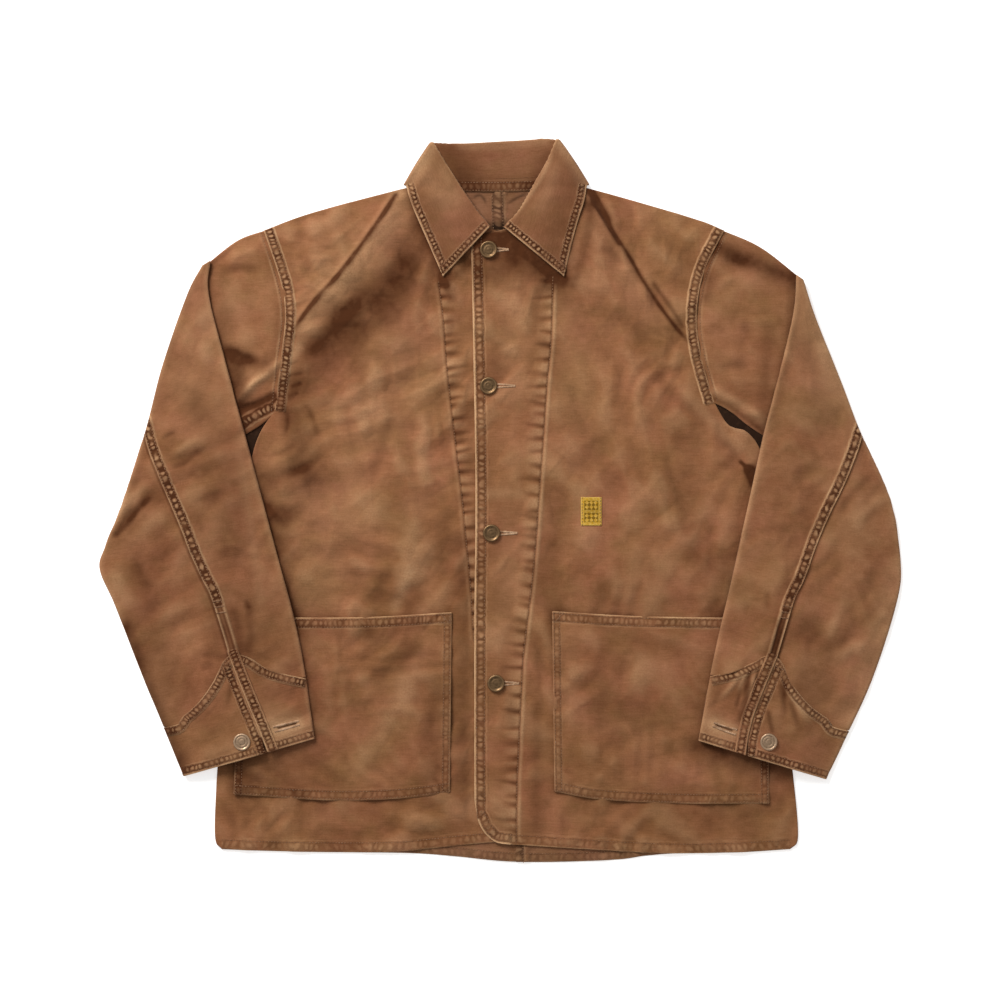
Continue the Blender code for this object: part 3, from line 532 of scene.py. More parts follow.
class Feature:
    """Something that shapes or wears cloth beside a curve."""

    points: Points
    reach: float

    def profile(self, along: Array, aside: Array, length: float) -> tuple[Array, Array, Array]:
        """Height, darkness and wear beside the curve.

        Args:
            along: Lengths along the curve.
            aside: Distances from it, positive on its left.
            length: The curve's length.

        Returns:
            Three arrays, one value for each place.
        """
        raise NotImplementedError

    def press(self, cloth: Relief) -> None:
        """Adds this feature to the cloth near its curve.

        Args:
            cloth: The cloth.
        """
        curve = Curve(self.points)
        found, along, aside = curve.near(cloth.x, cloth.y, self.reach)
        if found.size:
            cloth.add(found, *self.profile(along, aside, curve.length))
            self.mark(cloth, found, along, aside, curve.length)

    def mark(self, cloth: Relief, found: Array, along: Array, aside: Array, length: float) -> None:
        """Notes where points lie in the feature's own pattern, where it has one."""

    def stitch_rows(self) -> list[Array]:
        """Plan points of the rows of stitches that belong to this feature."""
        return []


@dataclass(frozen=True)
class Crease(Feature):
    """A soft ridge, or a trough where its height is negative."""

    points: Points
    height: float
    left: float
    right: float
    ends: Ends = Ends.BOTH
    shade: float = 0.0
    wear: float = 0.0
    over: float = 0.35

    @property
    def reach(self) -> float:
        """Distance at which the crease has died away."""
        return 2.3 * max(self.left, self.right)

    def profile(self, along: Array, aside: Array, length: float) -> tuple[Array, Array, Array]:
        """A bell across the crease, with its own width on each side.

        Args:
            along: Lengths along the curve.
            aside: Distances from it, positive on its left.
            length: The curve's length.

        Returns:
            Height, darkness and wear, one value for each place.
        """
        width = np.where(aside > 0, self.left, self.right)
        weight = np.exp(-((aside / width) ** 2)) * self.ends.fade(along / length, self.over)
        uneven = 1 + 0.11 * np.sin(along / 11 + self.height) + 0.06 * np.sin(along / 4.7 + self.left)
        weight = weight * uneven
        return CREASE_HEIGHT * self.height * weight, CREASE_SHADE * self.shade * weight, self.wear * weight


@dataclass(frozen=True)
class Puckers(Feature):
    """A stitched line with the uneven dents that it draws into the cloth on one side."""

    points: Points
    side: int
    pitch: float
    reach: float
    depth: float
    seed: int
    groove: float = 0.4
    ridge: float = 0.0
    shade: float = 0.55

    def profile(self, along: Array, aside: Array, length: float) -> tuple[Array, Array, Array]:
        """Dents that lean and fade away from the line, each a little different.

        Args:
            along: Lengths along the curve.
            aside: Distances from it, positive on its left.
            length: The curve's length.

        Returns:
            Height, darkness and wear, one value for each place.
        """
        chance = np.random.RandomState(self.seed)
        gap = aside * self.side
        dents = np.zeros_like(along)
        start = self.pitch * chance.uniform(0.2, 0.9)
        while start < length:
            reach = self.reach * chance.uniform(0.45, 1.0)
            width = self.pitch * chance.uniform(0.15, 0.27)
            lean = chance.uniform(-0.16, 0.16)
            force = chance.uniform(0.45, 1.15)
            fade = np.clip(1.15 - gap / reach, 0, 1)
            fade = fade * ease(-1.5, 0.6, gap)
            dents += force * fade * np.exp(-(((along - start - lean * gap) / width) ** 2))
            start += self.pitch * chance.uniform(0.62, 1.38)
        within = (along > 0.02) & (along < length - 0.02)
        dents *= within
        pillow = ease(-0.5, 1.5, gap) * np.clip(1 - gap / (0.7 * self.reach), 0, 1) * within
        line = np.exp(-((aside / 0.9) ** 2)) * within
        beyond = np.exp(-(((gap + 3.0) / 1.7) ** 2)) * within
        height = 0.35 * self.depth * pillow - self.depth * dents - self.groove * line
        height = height + self.ridge * beyond
        wear = np.clip(0.3 * pillow - dents, 0, 1) + 0.55 * self.ridge * beyond
        # The dents and the stitched groove are painted shade; the cloth between the dents and the ridge beyond
        # the line are paler, as wear and a painted highlight.
        return height, self.shade * dents + 0.5 * line * (self.groove > 0), wear

    def stitch_rows(self) -> list[Array]:
        """The row of stitches on the line itself."""
        return [Curve(self.points).line] if self.groove > 0 else []


@dataclass(frozen=True)
class Ladder(Feature):
    """A stitched band beside an edge: thicker cloth, with small close puckers across it."""

    points: Points
    side: int
    start: float
    stop: float
    rows: tuple[float, ...]
    pitch: float = 5.4
    lift: float = 0.35
    depth: float = 0.3
    seed: int = 1
    edge_wear: float = 0.6
    far_wear: float = 0.0
    shade: float = 0.7
    beads: float = 1.0

    @property
    def reach(self) -> float:
        """A little past the band's far side."""
        return self.stop + 4

    def profile(self, along: Array, aside: Array, length: float) -> tuple[Array, Array, Array]:
        """Bars across the band, a groove at each row of stitches and a worn edge.

        Args:
            along: Lengths along the curve.
            aside: Distances from it, positive on its left.
            length: The curve's length.

        Returns:
            Height, darkness and wear, one value for each place.
        """
        gap = aside * self.side
        within = (along > 0.02) & (along < length - 0.02)
        drift = Noise(17, self.seed).at(along, 0 * along)
        force = 0.8 + 0.35 * Noise(7.3, self.seed + 5).at(along, 0 * along)
        phase = along / self.pitch + 0.3 * drift
        bars = np.cos(2 * math.pi * phase)
        beads, strokes = ease(-0.2, 0.8, bars), 1 - ease(-1.0, -0.25, bars)
        band = ease(self.start - 1.0, self.start + 0.6, gap) * (1 - ease(self.stop - 0.6, self.stop + 1.0, gap))
        low = self.rows[0] if len(self.rows) > 1 else self.start
        high = self.rows[-1] if self.rows else self.stop
        core = ease(low - 0.3, low + 1.4, gap) * (1 - ease(high - 1.4, high + 0.3, gap))
        grooves = sum(np.exp(-(((gap - row) / 0.75) ** 2)) for row in self.rows)
        edges = self.edge_wear * np.exp(-(((gap - 0.35) / 0.85) ** 2))
        edges = edges + self.far_wear * np.exp(-(((gap - self.stop) / 0.85) ** 2))
        height = self.lift * band + self.depth * force * (beads - strokes) * core - 0.3 * grooves
        # The band is painted a little darker, and its stitch grooves darker still as painted shade.
        dark = self.shade * 0.25 * band + 0.12 * grooves
        return height * within, dark * within, 0.75 * edges * (0.85 + 0.4 * drift) * within

    def mark(self, cloth: Relief, found: Array, along: Array, aside: Array, length: float) -> None:
        """Notes the count of beads along the band, the place across it and its strength.

        Args:
            cloth: The cloth.
            found: Indices of the points.
            along: Lengths along the band.
            aside: Distances from its edge.
            length: The edge's length.
        """
        if not self.rows or not self.depth:
            return
        low = self.rows[0] if len(self.rows) > 1 else self.start + 0.8
        across = (aside * self.side - low) / (self.rows[-1] - low)
        drift = Noise(17, self.seed).at(along, 0 * along)
        within = (along > 0.02) & (along < length - 0.02)
        force = self.beads * within * ease(-0.62, -0.38, across) * (1 - ease(1.38, 1.62, across))
        keep = force >= cloth.seam[found, 2]
        place = np.column_stack([along / self.pitch + 0.3 * drift, across, force])
        cloth.seam[found[keep]] = place[keep]

    def stitch_rows(self) -> list[Array]:
        """One row of stitches for each of the band's rows."""
        return [Curve(self.points).offset(row * self.side) for row in self.rows]


@dataclass(frozen=True)
class Patch(Feature):
    """A blot of darker or paler cloth, with no height.

    The darker blots are mostly painted shade; the paler ones are fading and a few painted highlights.
    """

    points: Points
    reach: float
    shade: float = 0.0
    wear: float = 0.0

    def profile(self, along: Array, aside: Array, length: float) -> tuple[Array, Array, Array]:
        """A soft blot round the curve."""
        weight = np.exp(-((2 * aside / self.reach) ** 2))
        return 0 * weight, self.shade * weight, self.wear * weight


def ridge(height: float, width: float, wear: float, *points: Point, **others: object) -> Crease:
    """A soft fold that stands up, paler on its top as wear and as a painted highlight."""
    return Crease(points, height, **{"left": width, "right": width, "wear": wear, **others})


def trough(depth: float, width: float, shade: float, *points: Point, **others: object) -> Crease:
    """A soft fold that is pressed in, with painted shade in its bottom."""
    return Crease(points, -depth, **{"left": width, "right": width, "shade": shade, **others})


def shade_patch(width: float, shade: float, *points: Point) -> Patch:
    """A darker place round a line, mostly painted shade beside and under what lies on the cloth and in its folds.
    """
    return Patch(points, width, shade=shade)


def lighter(width: float, wear: float, *points: Point) -> Patch:
    """A lighter place round a line: fading, and on a few lit folds a painted highlight."""
    return Patch(points, width, wear=wear)


def rows_of(features: Sequence[Feature]) -> list[Array]:
    """Plan points of all rows of stitches of some features."""
    return [row for feature in features for row in feature.stitch_rows()]


# ---------------------------------------------------------------- folds and seams, in mm
# Large soft folds of the fronts. What lies on the fronts follows them too.
BODY_SWELLS = (
    ridge(4.2, 22, 0.34, (-109, 327), (-127, 295), (-164, 244), (-192, 213), (-212, 186), (-226, 157),
        ends=Ends.STOP, over=0.3, right=6.0),
    ridge(3.4, 6.0, 0.12, (88, 327), (105, 292), (125, 260), (146, 223), (169, 190), (196, 165),
        ends=Ends.STOP, over=0.3, right=22),
    ridge(2.6, 26, 0, (-65, 223), (-105, 175), (-144, 140), (-202, 109), right=20),
    ridge(1.8, 34, 0, (-112, 85), (-130, -21), (-116, -105)),
    ridge(2.2, 30, 0, (105, 149), (147, 85), (160, -21), (147, -105)),
    ridge(2.6, 12, 0, (177, 136), (200, 107), (224, 73), (234, 32), right=9),
    ridge(2.0, 9, 0, (-190, 48), (-213, 20), (-247, 7)),
    ridge(1.7, 8, 0, (-202, 68), (-222, 49), (-251, 34)),
    ridge(1.2, 12, 0, (-181, -320), (-213, -333), (-245, -358), ends=Ends.START, right=8),
    ridge(0.9, 10, 0, (-75, -317), (-91, -333), (-102, -360), ends=Ends.START),
    ridge(0.9, 12, 0, (126, -333), (105, -347), (94, -362), ends=Ends.START),
)
# Smaller folds, dents, lighter places, and darker places that are mostly painted shade, of each front.
FRONT_CREASES = {
    RIGHT: (
        trough(0.5, 3.6, 2.1, (-112, 323), (-130, 295), (-167, 245), (-195, 214), (-215, 187), (-225, 165),
            ends=Ends.STOP, over=0.2, right=2.7),
        trough(1.2, 15, 0.4, (-77, 305), (-99, 242), (-145, 183), (-213, 132), ends=Ends.NONE, right=20),
        shade_patch(56, 0.32, (-88, 244), (-116, 206), (-160, 172), (-209, 143)),
        shade_patch(34, 0.42, (-107, 251), (-135, 223), (-164, 198)),
        shade_patch(20, 0.55, (-156, 208), (-179, 183), (-200, 160)),
        shade_patch(15, 0.3, (-236, -58), (-226, -105), (-217, -148)),
        shade_patch(12, 0.5, (-63, 235), (-52, 215)),
        shade_patch(15, 0.45, (-207, -169), (-201, -206), (-195, -243)),
        lighter(12, 0.2, (-217, 160), (-228, 136), (-232, 111)),
        shade_patch(26, 0.35, (-228, 94), (-219, 68), (-217, 41)),
        shade_patch(18, 0.4, (-247, -12), (-230, -21)),
        shade_patch(18, 0.3, (-132, -101), (-137, -118)),
        shade_patch(20, 0.35, (-88, -101), (-99, -120)),
        lighter(13, 0.3, (-96, -76), (-105, -97), (-111, -112)),
        shade_patch(30, 0.16, (-107, 185), (-103, 149)),
        # Painted highlight on the lit fold by the armhole.
        lighter(13, 0.3, (-213, 164), (-223, 149), (-229, 132)),
        shade_patch(13, 0.5, (-58, 229), (-41, 244), (-24, 259)),
        shade_patch(26, 0.25, (-207, 115), (-186, 107)),
        shade_patch(26, 0.4, (-251, 26), (-232, 17), (-213, 22)),
        shade_patch(26, 0.3, (-243, -42), (-222, -50)),
        shade_patch(26, 0.25, (-234, -105), (-217, -112)),
        shade_patch(22, 0.4, (-281, -298), (-238, -288), (-192, -269)),
        lighter(40, 0.10, (-160, 45), (-143, -21)),
        lighter(30, 0.12, (-94, -10), (-86, -74)),
        trough(0.7, 6, 0.3, (-215, 266), (-181, 285), (-137, 312)),
        ridge(0.5, 9, 0.12, (-213, 285), (-181, 295), (-158, 304)),
        trough(0.6, 5, 0.2, (-196, 246), (-181, 253), (-165, 259)),
        trough(0.6, 2.6, 0.3, (-225, 143), (-212, 148), ends=Ends.STOP),
        trough(0.6, 2.6, 0.4, (-223, 132), (-207, 135), ends=Ends.STOP),
        trough(0.8, 2.4, 0.5, (-220, 121), (-209, 125), ends=Ends.STOP),
        trough(0.8, 2.4, 0.5, (-224, 111), (-213, 115), ends=Ends.STOP),
        trough(1.0, 3, 0.4, (-227, 102), (-226, 80), (-229, 62)),
        trough(1.1, 3.4, 0.34, (-213, 109), (-201, 91), (-193, 69), (-189, 54)),
        trough(1.4, 6, 0.5, (-189, 54), (-200, 39), (-224, 29), (-251, 21)),
        trough(0.8, 4, 0.3, (-213, 64), (-230, 51), (-253, 45)),
        trough(1.0, 6, 0.35, (-253, 3), (-238, -8), (-213, -11), (-192, 1)),
        trough(0.8, 5, 0.2, (-253, -21), (-240, -37), (-222, -50)),
        trough(1.1, 7, 0.26, (-111, 109), (-122, 64), (-136, 22), (-145, -4)),
        ridge(0.9, 8, 0.1, (-130, 157), (-138, 107), (-148, 51)),
        ridge(0.9, 8, 0.12, (-80, 112), (-84, 32), (-89, -5)),
        trough(1.0, 7, 0.3, (-105, -55), (-122, -84), (-135, -118)),
        ridge(0.8, 6, 0.08, (-92, -55), (-108, -105)),
        trough(0.5, 8, 0.22, (-57, 11), (-57, -63), (-58, -132)),
        trough(0.6, 8, 0.14, (-181, -63), (-165, -47), (-137, -42)),
        trough(0.9, 6, 0.25, (-213, -324), (-243, -345), (-258, -360)),
        trough(0.6, 6, 0.15, (-107, -328), (-116, -360)),
        trough(0.6, 5, 0.2, (-289, -324), (-281, -343), (-277, -358)),
        shade_patch(18, 0.42, (-42, -42), (-40, -148), (-40, -211), (-41, -317)),
        shade_patch(34, 0.30, (-228, 115), (-207, 68), (-196, 24)),
        shade_patch(22, 0.35, (-249, -12), (-226, -19)),
        lighter(60, 0.12, (-222, 32), (-181, -42), (-213, -105)),
        shade_patch(22, 0.22, (-107, -95), (-81, -63), (-65, -31)),
        shade_patch(20, 0.2, (-33, 253), (-16, 238), (1, 253)),
        lighter(60, 0.10, (-171, 266), (-181, 223)),
        shade_patch(16, 0.12, (-287, -324), (-181, -330), (-65, -324)),
        lighter(70, 0.08, (-107, 181), (-128, 85)),
    ),
    LEFT: (
        trough(0.6, 2.6, 1.9, (95, 329), (112, 294), (132, 264), (154, 227), (176, 195), (194, 173),
            (207, 160), ends=Ends.STOP, over=0.16),
        trough(0.6, 4.6, 2.2, (93, 331), (106, 309), (122, 285), ends=Ends.STOP, over=0.4, right=4.2),
        trough(0.4, 7, 0.3, (92, 312), (113, 276), (135, 246), ends=Ends.STOP),
        trough(1.2, 9, 0.36, (103, 215), (126, 193), (153, 172), (166, 160)),
        trough(0.6, 4, 0.22, (105, 270), (118, 259), (132, 245)),
        ridge(0.8, 4, 0.25, (228, 85), (253, 76), (268, 63)),
        trough(0.9, 6, 0.3, (224, 64), (241, 58), (258, 41)),
        trough(1.2, 7, 0.34, (160, 157), (173, 122), (200, 94), (219, 67)),
        trough(0.9, 6, 0.22, (164, 94), (173, 54), (181, 22), (189, 1), (201, -65)),
        ridge(0.5, 9, 0.1, (147, 271), (181, 253), (200, 228)),
        trough(0.5, 8, 0.22, (58, 32), (55, -42), (53, -110)),
        trough(0.5, 6, 0.18, (110, -82), (112, -118)),
        trough(0.6, 7, 0.12, (147, -63), (169, -84), (200, -95)),
        trough(0.8, 6, 0.2, (211, 1), (224, -42), (219, -95)),
        trough(0.5, 6, 0.12, (63, -330), (69, -360)),
        trough(0.5, 6, 0.12, (217, -330), (224, -360)),
        shade_patch(12, 0.42, (96, 313), (89, 266), (77, 229)),
        shade_patch(14, 0.12, (58, -328), (190, -332), (296, -328)),
        shade_patch(15, 0.95, (-16, 277), (-1, 278), (16, 270)),
        lighter(4, 0.5, (-15, 285), (3, 287)),
        # Painted shade: the nearly black gap by the left underarm, with the next one.
        shade_patch(9, 3.5, (263, 32), (266, 26), (269, 19)),
        shade_patch(4, 1.2, (254, 41), (261, 34)),
        shade_patch(14, 0.6, (10, 278), (36, 257), (65, 234)),
        shade_patch(42, 0.6, (-22, 242), (5, 249), (35, 249), (52, 232)),
        shade_patch(20, 0.5, (-16, 266), (-1, 272), (14, 259)),
        shade_patch(26, 0.3, (58, -118), (75, -127)),
        shade_patch(20, 0.2, (196, 32), (200, -21), (205, -63)),
        shade_patch(20, 0.45, (215, -264), (262, -279), (313, -294)),
        shade_patch(22, 0.25, (219, -63), (228, -127)),
        shade_patch(12, 0.25, (41, -148), (37, -254), (37, -349)),
        shade_patch(40, 0.2, (105, -93), (147, -112), (200, -105)),
        lighter(44, 0.10, (12, 213), (10, 160)),
        lighter(36, 0.10, (10, -63), (5, -148)),
        lighter(30, 0.14, (-1, -317), (5, -349)),
        lighter(50, 0.06, (63, 213), (78, 107), (78, 22)),
        lighter(34, 0.10, (200, 319), (158, 312)),
        shade_patch(20, 0.3, (236, -61), (241, -86)),
        shade_patch(18, 0.25, (-3, 168), (-5, 136)),
        shade_patch(14, 0.3, (3, -178), (12, -235)),
        # Painted highlight on the raised lobe of cloth by the left underarm.
        lighter(14, 0.22, (198, 109), (226, 81), (251, 54)),
        lighter(14, 0.22, (-12, 7), (20, 7)),
        shade_patch(6, 0.6, (162, 229), (177, 208), (192, 185)),
        shade_patch(6, 0.7, (101, 315), (113, 292), (124, 272)),
    ),
}
POCKET_CREASES = {
    RIGHT: (
        shade_patch(24, 0.32, (-281, -298), (-238, -288), (-192, -269)),
        shade_patch(20, 0.4, (-139, -140), (-113, -137), (-92, -129)),
        trough(0.9, 10, 0.85, (-82, -137), (-105, -169), (-147, -190)),
        shade_patch(22, 0.3, (-213, -137), (-181, -136), (-143, -139)),
        shade_patch(30, 0.28, (-69, -201), (-71, -254), (-77, -307)),
        shade_patch(60, 0.14, (-160, -201), (-181, -211)),
        shade_patch(26, 0.2, (-213, -307), (-245, -303), (-270, -296)),
        ridge(0.9, 12, 0.16, (-73, -153), (-106, -211), (-139, -264), (-173, -305)),
        trough(0.8, 7, 0.24, (-67, -201), (-75, -235), (-85, -279)),
        trough(0.6, 4, 0.2, (-171, -133), (-170, -169), (-173, -216)),
        trough(0.6, 7, 0.22, (-194, -148), (-213, -180), (-217, -233)),
        trough(0.5, 6, 0.14, (-213, -275), (-181, -291), (-160, -307)),
        trough(0.4, 2.6, 0.5, (-81, -135), (-72, -127), (-64, -118), ends=Ends.NONE),
        trough(0.5, 3, 0.35, (-75, -288), (-65, -301), (-58, -309)),
        trough(0.4, 2.5, 0.3, (-69, -279), (-60, -288)),
        shade_patch(26, 0.2, (-277, -254), (-272, -307)),
    ),
    LEFT: (
        shade_patch(22, 0.5, (211, -262), (262, -279), (296, -290)),
        shade_patch(40, 0.16, (94, -129), (158, -148), (200, -135)),
        shade_patch(70, 0.10, (105, -211), (147, -233)),
        trough(0.7, 11, 0.24, (112, -135), (108, -211), (105, -267)),
        ridge(0.6, 10, 0.10, (74, -135), (73, -201), (74, -254)),
        ridge(0.5, 12, 0.08, (147, -148), (143, -211)),
        trough(0.5, 3, 0.35, (65, -284), (72, -288), (80, -292)),
        trough(0.4, 2.5, 0.3, (69, -298), (80, -303)),
        trough(0.5, 9, 0.12, (181, -148), (200, -201), (211, -254)),
    ),
}
SLEEVE_CREASES = {
    RIGHT: (
        trough(1.7, 4, 1.1, (-361, 15), (-382, -8), (-407, -36), ends=Ends.START, right=5),
        shade_patch(26, 0.25, (-349, -50), (-370, -63), (-387, -69)),
        ridge(1.6, 6, 0.2, (-370, 24), (-391, 1), (-412, -21), ends=Ends.START),
        ridge(1.3, 9, 0.12, (-349, 1), (-372, -26), (-395, -50)),
        trough(1.0, 3.6, 0.5, (-357, 26), (-330, 45), (-302, 61), right=5),
        ridge(0.9, 5, 0.1, (-351, 43), (-334, 56), (-315, 66)),
        trough(0.8, 3, 0.4, (-361, 62), (-353, 68), (-342, 74)),
        trough(0.8, 4, 0.3, (-328, -6), (-307, 4), (-285, 9), right=6),
        trough(0.8, 5, 0.3, (-391, -55), (-382, -76), (-366, -101), right=8),
        ridge(1.0, 9, 0.1, (-412, -63), (-402, -95), (-383, -116)),
        trough(0.7, 3, 0.35, (-270, -103), (-268, -110), (-265, -117)),
        trough(0.7, 3, 0.42, (-321, -164), (-304, -164), (-288, -167), ends=Ends.START),
        trough(0.8, 4, 0.34, (-319, -178), (-311, -176), (-301, -174)),
        trough(0.8, 12, 0.14, (-332, 128), (-319, 85), (-323, 54)),
        trough(0.7, 6, 0.2, (-306, -63), (-287, -55), (-268, -59)),
        trough(0.8, 8, 0.18, (-351, -148), (-335, -127), (-313, -118)),
        ridge(0.9, 10, 0.1, (-319, 213), (-311, 170), (-313, 138)),
        lighter(50, 0.05, (-308, 223), (-330, 170), (-349, 117)),
        shade_patch(100, 0.2, (-306, 32), (-287, -42), (-270, -116), (-253, -190)),
        shade_patch(13, 0.35, (-283, -118), (-277, -137), (-275, -161)),
        shade_patch(70, 0.12, (-372, -148), (-344, -201), (-319, -233)),
        lighter(12, 0.14, (-277, 64), (-266, -21), (-253, -105)),
        lighter(22, 0.1, (-314, -47), (-308, -84), (-292, -105)),
        shade_patch(40, 0.16, (-372, -105), (-361, -169), (-344, -211)),
        shade_patch(22, 0.75, (-400, -137), (-370, -218), (-340, -284)),
        lighter(36, 0.3, (-243, -241), (-222, -250)),
        shade_patch(4, 1.6, (-254, -252), (-251, -264)),
        trough(0.9, 3.4, 0.4, (-281, -178), (-285, -201), (-289, -224)),
        shade_patch(10, 0.35, (-266, -112), (-264, -142), (-266, -158)),
        lighter(44, 0.06, (-330, 117), (-313, 85)),
        shade_patch(60, 0.2, (-376, 11), (-385, -42), (-372, -95)),
        shade_patch(40, 0.2, (-323, -42), (-313, -95), (-285, -148)),
        shade_patch(50, 0.12, (-281, 32), (-277, -31), (-260, -105)),
        shade_patch(60, 0.1, (-323, 107), (-308, 54), (-292, 1)),
    ),
    LEFT: (
        lighter(26, 0.2, (217, -235), (234, -252)),
        ridge(1.0, 3.2, 0.3, (259, -175), (243, -197), (226, -214)),
        trough(1.1, 3.2, 0.8, (267, -184), (258, -214), (250, -245)),
        trough(1.1, 3.4, 0.7, (296, -182), (299, -209), (301, -235)),
        ridge(1.0, 3.4, 0.3, (302, -192), (314, -218), (330, -239)),
        trough(1.0, 3.4, 0.5, (302, -201), (310, -224), (317, -248)),
        shade_patch(6, 0.6, (282, -224), (286, -243)),
        shade_patch(9, 0.4, (294, -129), (289, -161)),
        shade_patch(13, 0.35, (300, -120), (292, -142), (283, -161)),
        shade_patch(30, 0.2, (330, -137), (355, -156)),
        shade_patch(30, 0.2, (234, -47), (241, -90)),
        trough(0.9, 2.4, 1.0, (266, -175), (261, -190), (255, -208)),
        trough(0.9, 2.2, 0.9, (273, -171), (269, -196), (263, -220)),
        trough(0.8, 2.2, 0.8, (254, -191), (251, -208), (248, -224)),
        ridge(0.7, 2.4, 0.35, (261, -178), (255, -190), (250, -205)),
        ridge(0.7, 2.2, 0.35, (270, -178), (265, -195), (260, -214)),
        trough(0.6, 4, 0.3, (236, -199), (228, -211), (222, -224)),
        trough(0.7, 3, 0.5, (298, -186), (300, -199), (298, -214)),
        lighter(26, 0.2, (372, -233), (398, -148), (419, -74)),
        ridge(1.3, 7, 0.16, (342, -150), (355, -125), (371, -93)),
        ridge(1.2, 7, 0.14, (348, -176), (366, -161), (387, -146)),
        trough(1.0, 5, 0.26, (355, -161), (368, -142), (378, -118)),
        trough(0.8, 4, 0.34, (283, -93), (282, -105), (281, -119)),
        trough(1.2, 6, 0.3, (389, 22), (370, 1), (355, -21), ends=Ends.STOP),
        ridge(1.2, 7, 0.12, (402, 1), (383, -15), (370, -37), ends=Ends.STOP),
        trough(1.0, 6, 0.24, (306, 22), (323, 32), (342, 34)),
        trough(1.0, 7, 0.2, (402, -63), (389, -95), (383, -116)),
        trough(0.8, 6, 0.2, (275, -42), (290, -31), (308, -36)),
        trough(0.7, 12, 0.12, (323, 181), (330, 128), (323, 85)),
        ridge(0.9, 10, 0.12, (330, 223), (340, 170), (349, 128)),
        trough(0.8, 5, 0.22, (317, -158), (330, -148), (344, -137)),
        lighter(46, 0.14, (317, 213), (333, 160), (349, 107)),
        lighter(10, 0.14, (283, 107), (269, 32), (255, -42)),
        shade_patch(40, 0.1, (296, 22), (283, -63)),
    ),
}
HEAD_CREASES = {
    RIGHT: (
        trough(1.2, 6, 0.42, (-296, 242), (-272, 244), (-251, 242)),
        ridge(1.1, 6, 0.12, (-293, 254), (-272, 261), (-251, 264)),
        ridge(0.8, 12, 0.08, (-304, 213), (-277, 207), (-245, 210)),
        trough(1.2, 6, 0.9, (-300, 167), (-277, 153), (-251, 147)),
        shade_patch(15, 0.5, (-279, 151), (-264, 147), (-251, 145)),
        ridge(2.0, 4.5, 0.25, (-277, 109), (-253, 131), (-230, 148), ends=Ends.NONE, right=6),
        trough(1.7, 4.2, 2.0, (-277, 95), (-258, 102), (-241, 111), ends=Ends.NONE),
        ridge(1.0, 3.5, 0.3, (-275, 111), (-260, 126), (-238, 136)),
        trough(0.8, 3.5, 0.7, (-270, 66), (-258, 77), (-245, 85), ends=Ends.NONE),
        shade_patch(9, 0.2, (-241, 276), (-230, 253), (-224, 213), (-224, 170)),
        shade_patch(16, 0.2, (-294, 244), (-292, 213), (-285, 181)),
        shade_patch(20, 0.5, (-281, 153), (-277, 128), (-272, 107)),
    ),
    LEFT: (
        trough(1.0, 6, 0.34, (254, 196), (260, 176), (248, 157)),
        ridge(0.9, 5, 0.12, (225, 222), (236, 231), (250, 237)),
        trough(0.8, 6, 0.26, (232, 257), (248, 253), (266, 253)),
        trough(0.8, 6, 0.3, (228, 136), (247, 143), (266, 138)),
        ridge(1.4, 5, 0.25, (228, 115), (251, 103), (277, 85), ends=Ends.NONE),
        shade_patch(7, 0.5, (224, 108), (247, 96), (277, 73)),
        shade_patch(16, 0.3, (283, 181), (279, 128), (277, 85)),
        shade_patch(22, 0.8, (228, 270), (248, 259), (275, 249), (308, 236)),
        shade_patch(14, 0.45, (224, 270), (219, 238), (217, 213)),
    ),
}

# The underarm seam that shows below the right armhole.
UNDERARM_BAND = Ladder(((-228, 107), (-245, 98), (-262, 89), (-281, 76)), 1, -6, 6, (-4.4, 4.4), pitch=6.4,
                       seed=66, lift=0.5, edge_wear=0.3, far_wear=0.5, shade=0.8)

# Stitched lines. Each front has its facing's line with puckers towards the front edge.
FACING_LINE = {
    RIGHT: ((-66, 231), (-61, 191), (-57, 138), (-51, 85), (-46, 43), (-41, 1), (-37, -42), (-32, -95),
            (-29, -148)),
    LEFT: ((55, 236), (53, 170), (49, 128), (46, 85), (43, 43), (40, 1), (37, -42), (33, -84), (28, -127),
           (23, -169), (21, -211), (19, -254), (17, -296), (16, -362)),
}

# Arcs of stitches on the back, inside the neck.
BACK_ARCS = {RIGHT: ((-33, 319), (-22, 323), (-14, 313)), LEFT: ((4, 313), (18, 321), (31, 326))}

# Collar leaves and the inside of the stand.
COLLAR_CREASES = (
    lighter(26, 0.16, (-88, 361), (-77, 340), (-60, 319)),
    lighter(16, 0.3, (-71, 377), (-86, 355), (-100, 333)),
    lighter(16, 0.36, (63, 379), (78, 358), (91, 334)),
    shade_patch(26, 0.16, (-69, 303), (-58, 276), (-54, 257)),
    shade_patch(16, 0.12, (-33, 303), (-22, 281)),
    shade_patch(30, 0.2, (75, 345), (69, 319), (63, 287)),
    shade_patch(60, 0.14, (86, 329), (71, 281), (58, 253)),
    ridge(0.4, 2.4, 0.3, (60, 379), (50, 356), (38, 334), (7, 290)),
    shade_patch(22, 0.12, (50, 276), (58, 260)),
    ridge(0.5, 9, 0.10, (63, 372), (50, 329), (31, 292)),
    ridge(0.4, 8, 0.10, (-69, 372), (-52, 333), (-33, 303)),
)
STAND_CREASES = (
    shade_patch(34, 0.5, (-58, 372), (-41, 342), (-29, 323)),
    shade_patch(18, 0.4, (50, 363), (39, 344), (29, 327)),
    lighter(10, 0.18, (-43, 375), (-1, 375), (47, 380)),
    shade_patch(10, 0.18, (-49, 338), (-1, 337), (36, 335)),
)


# ---------------------------------------------------------------- cloth walls
def cloth_grid(plan: Array, height: Array) -> Array:
    """Points of a grid in plan at the given heights."""
    return np.dstack([plan, height.reshape(plan.shape[:2])])


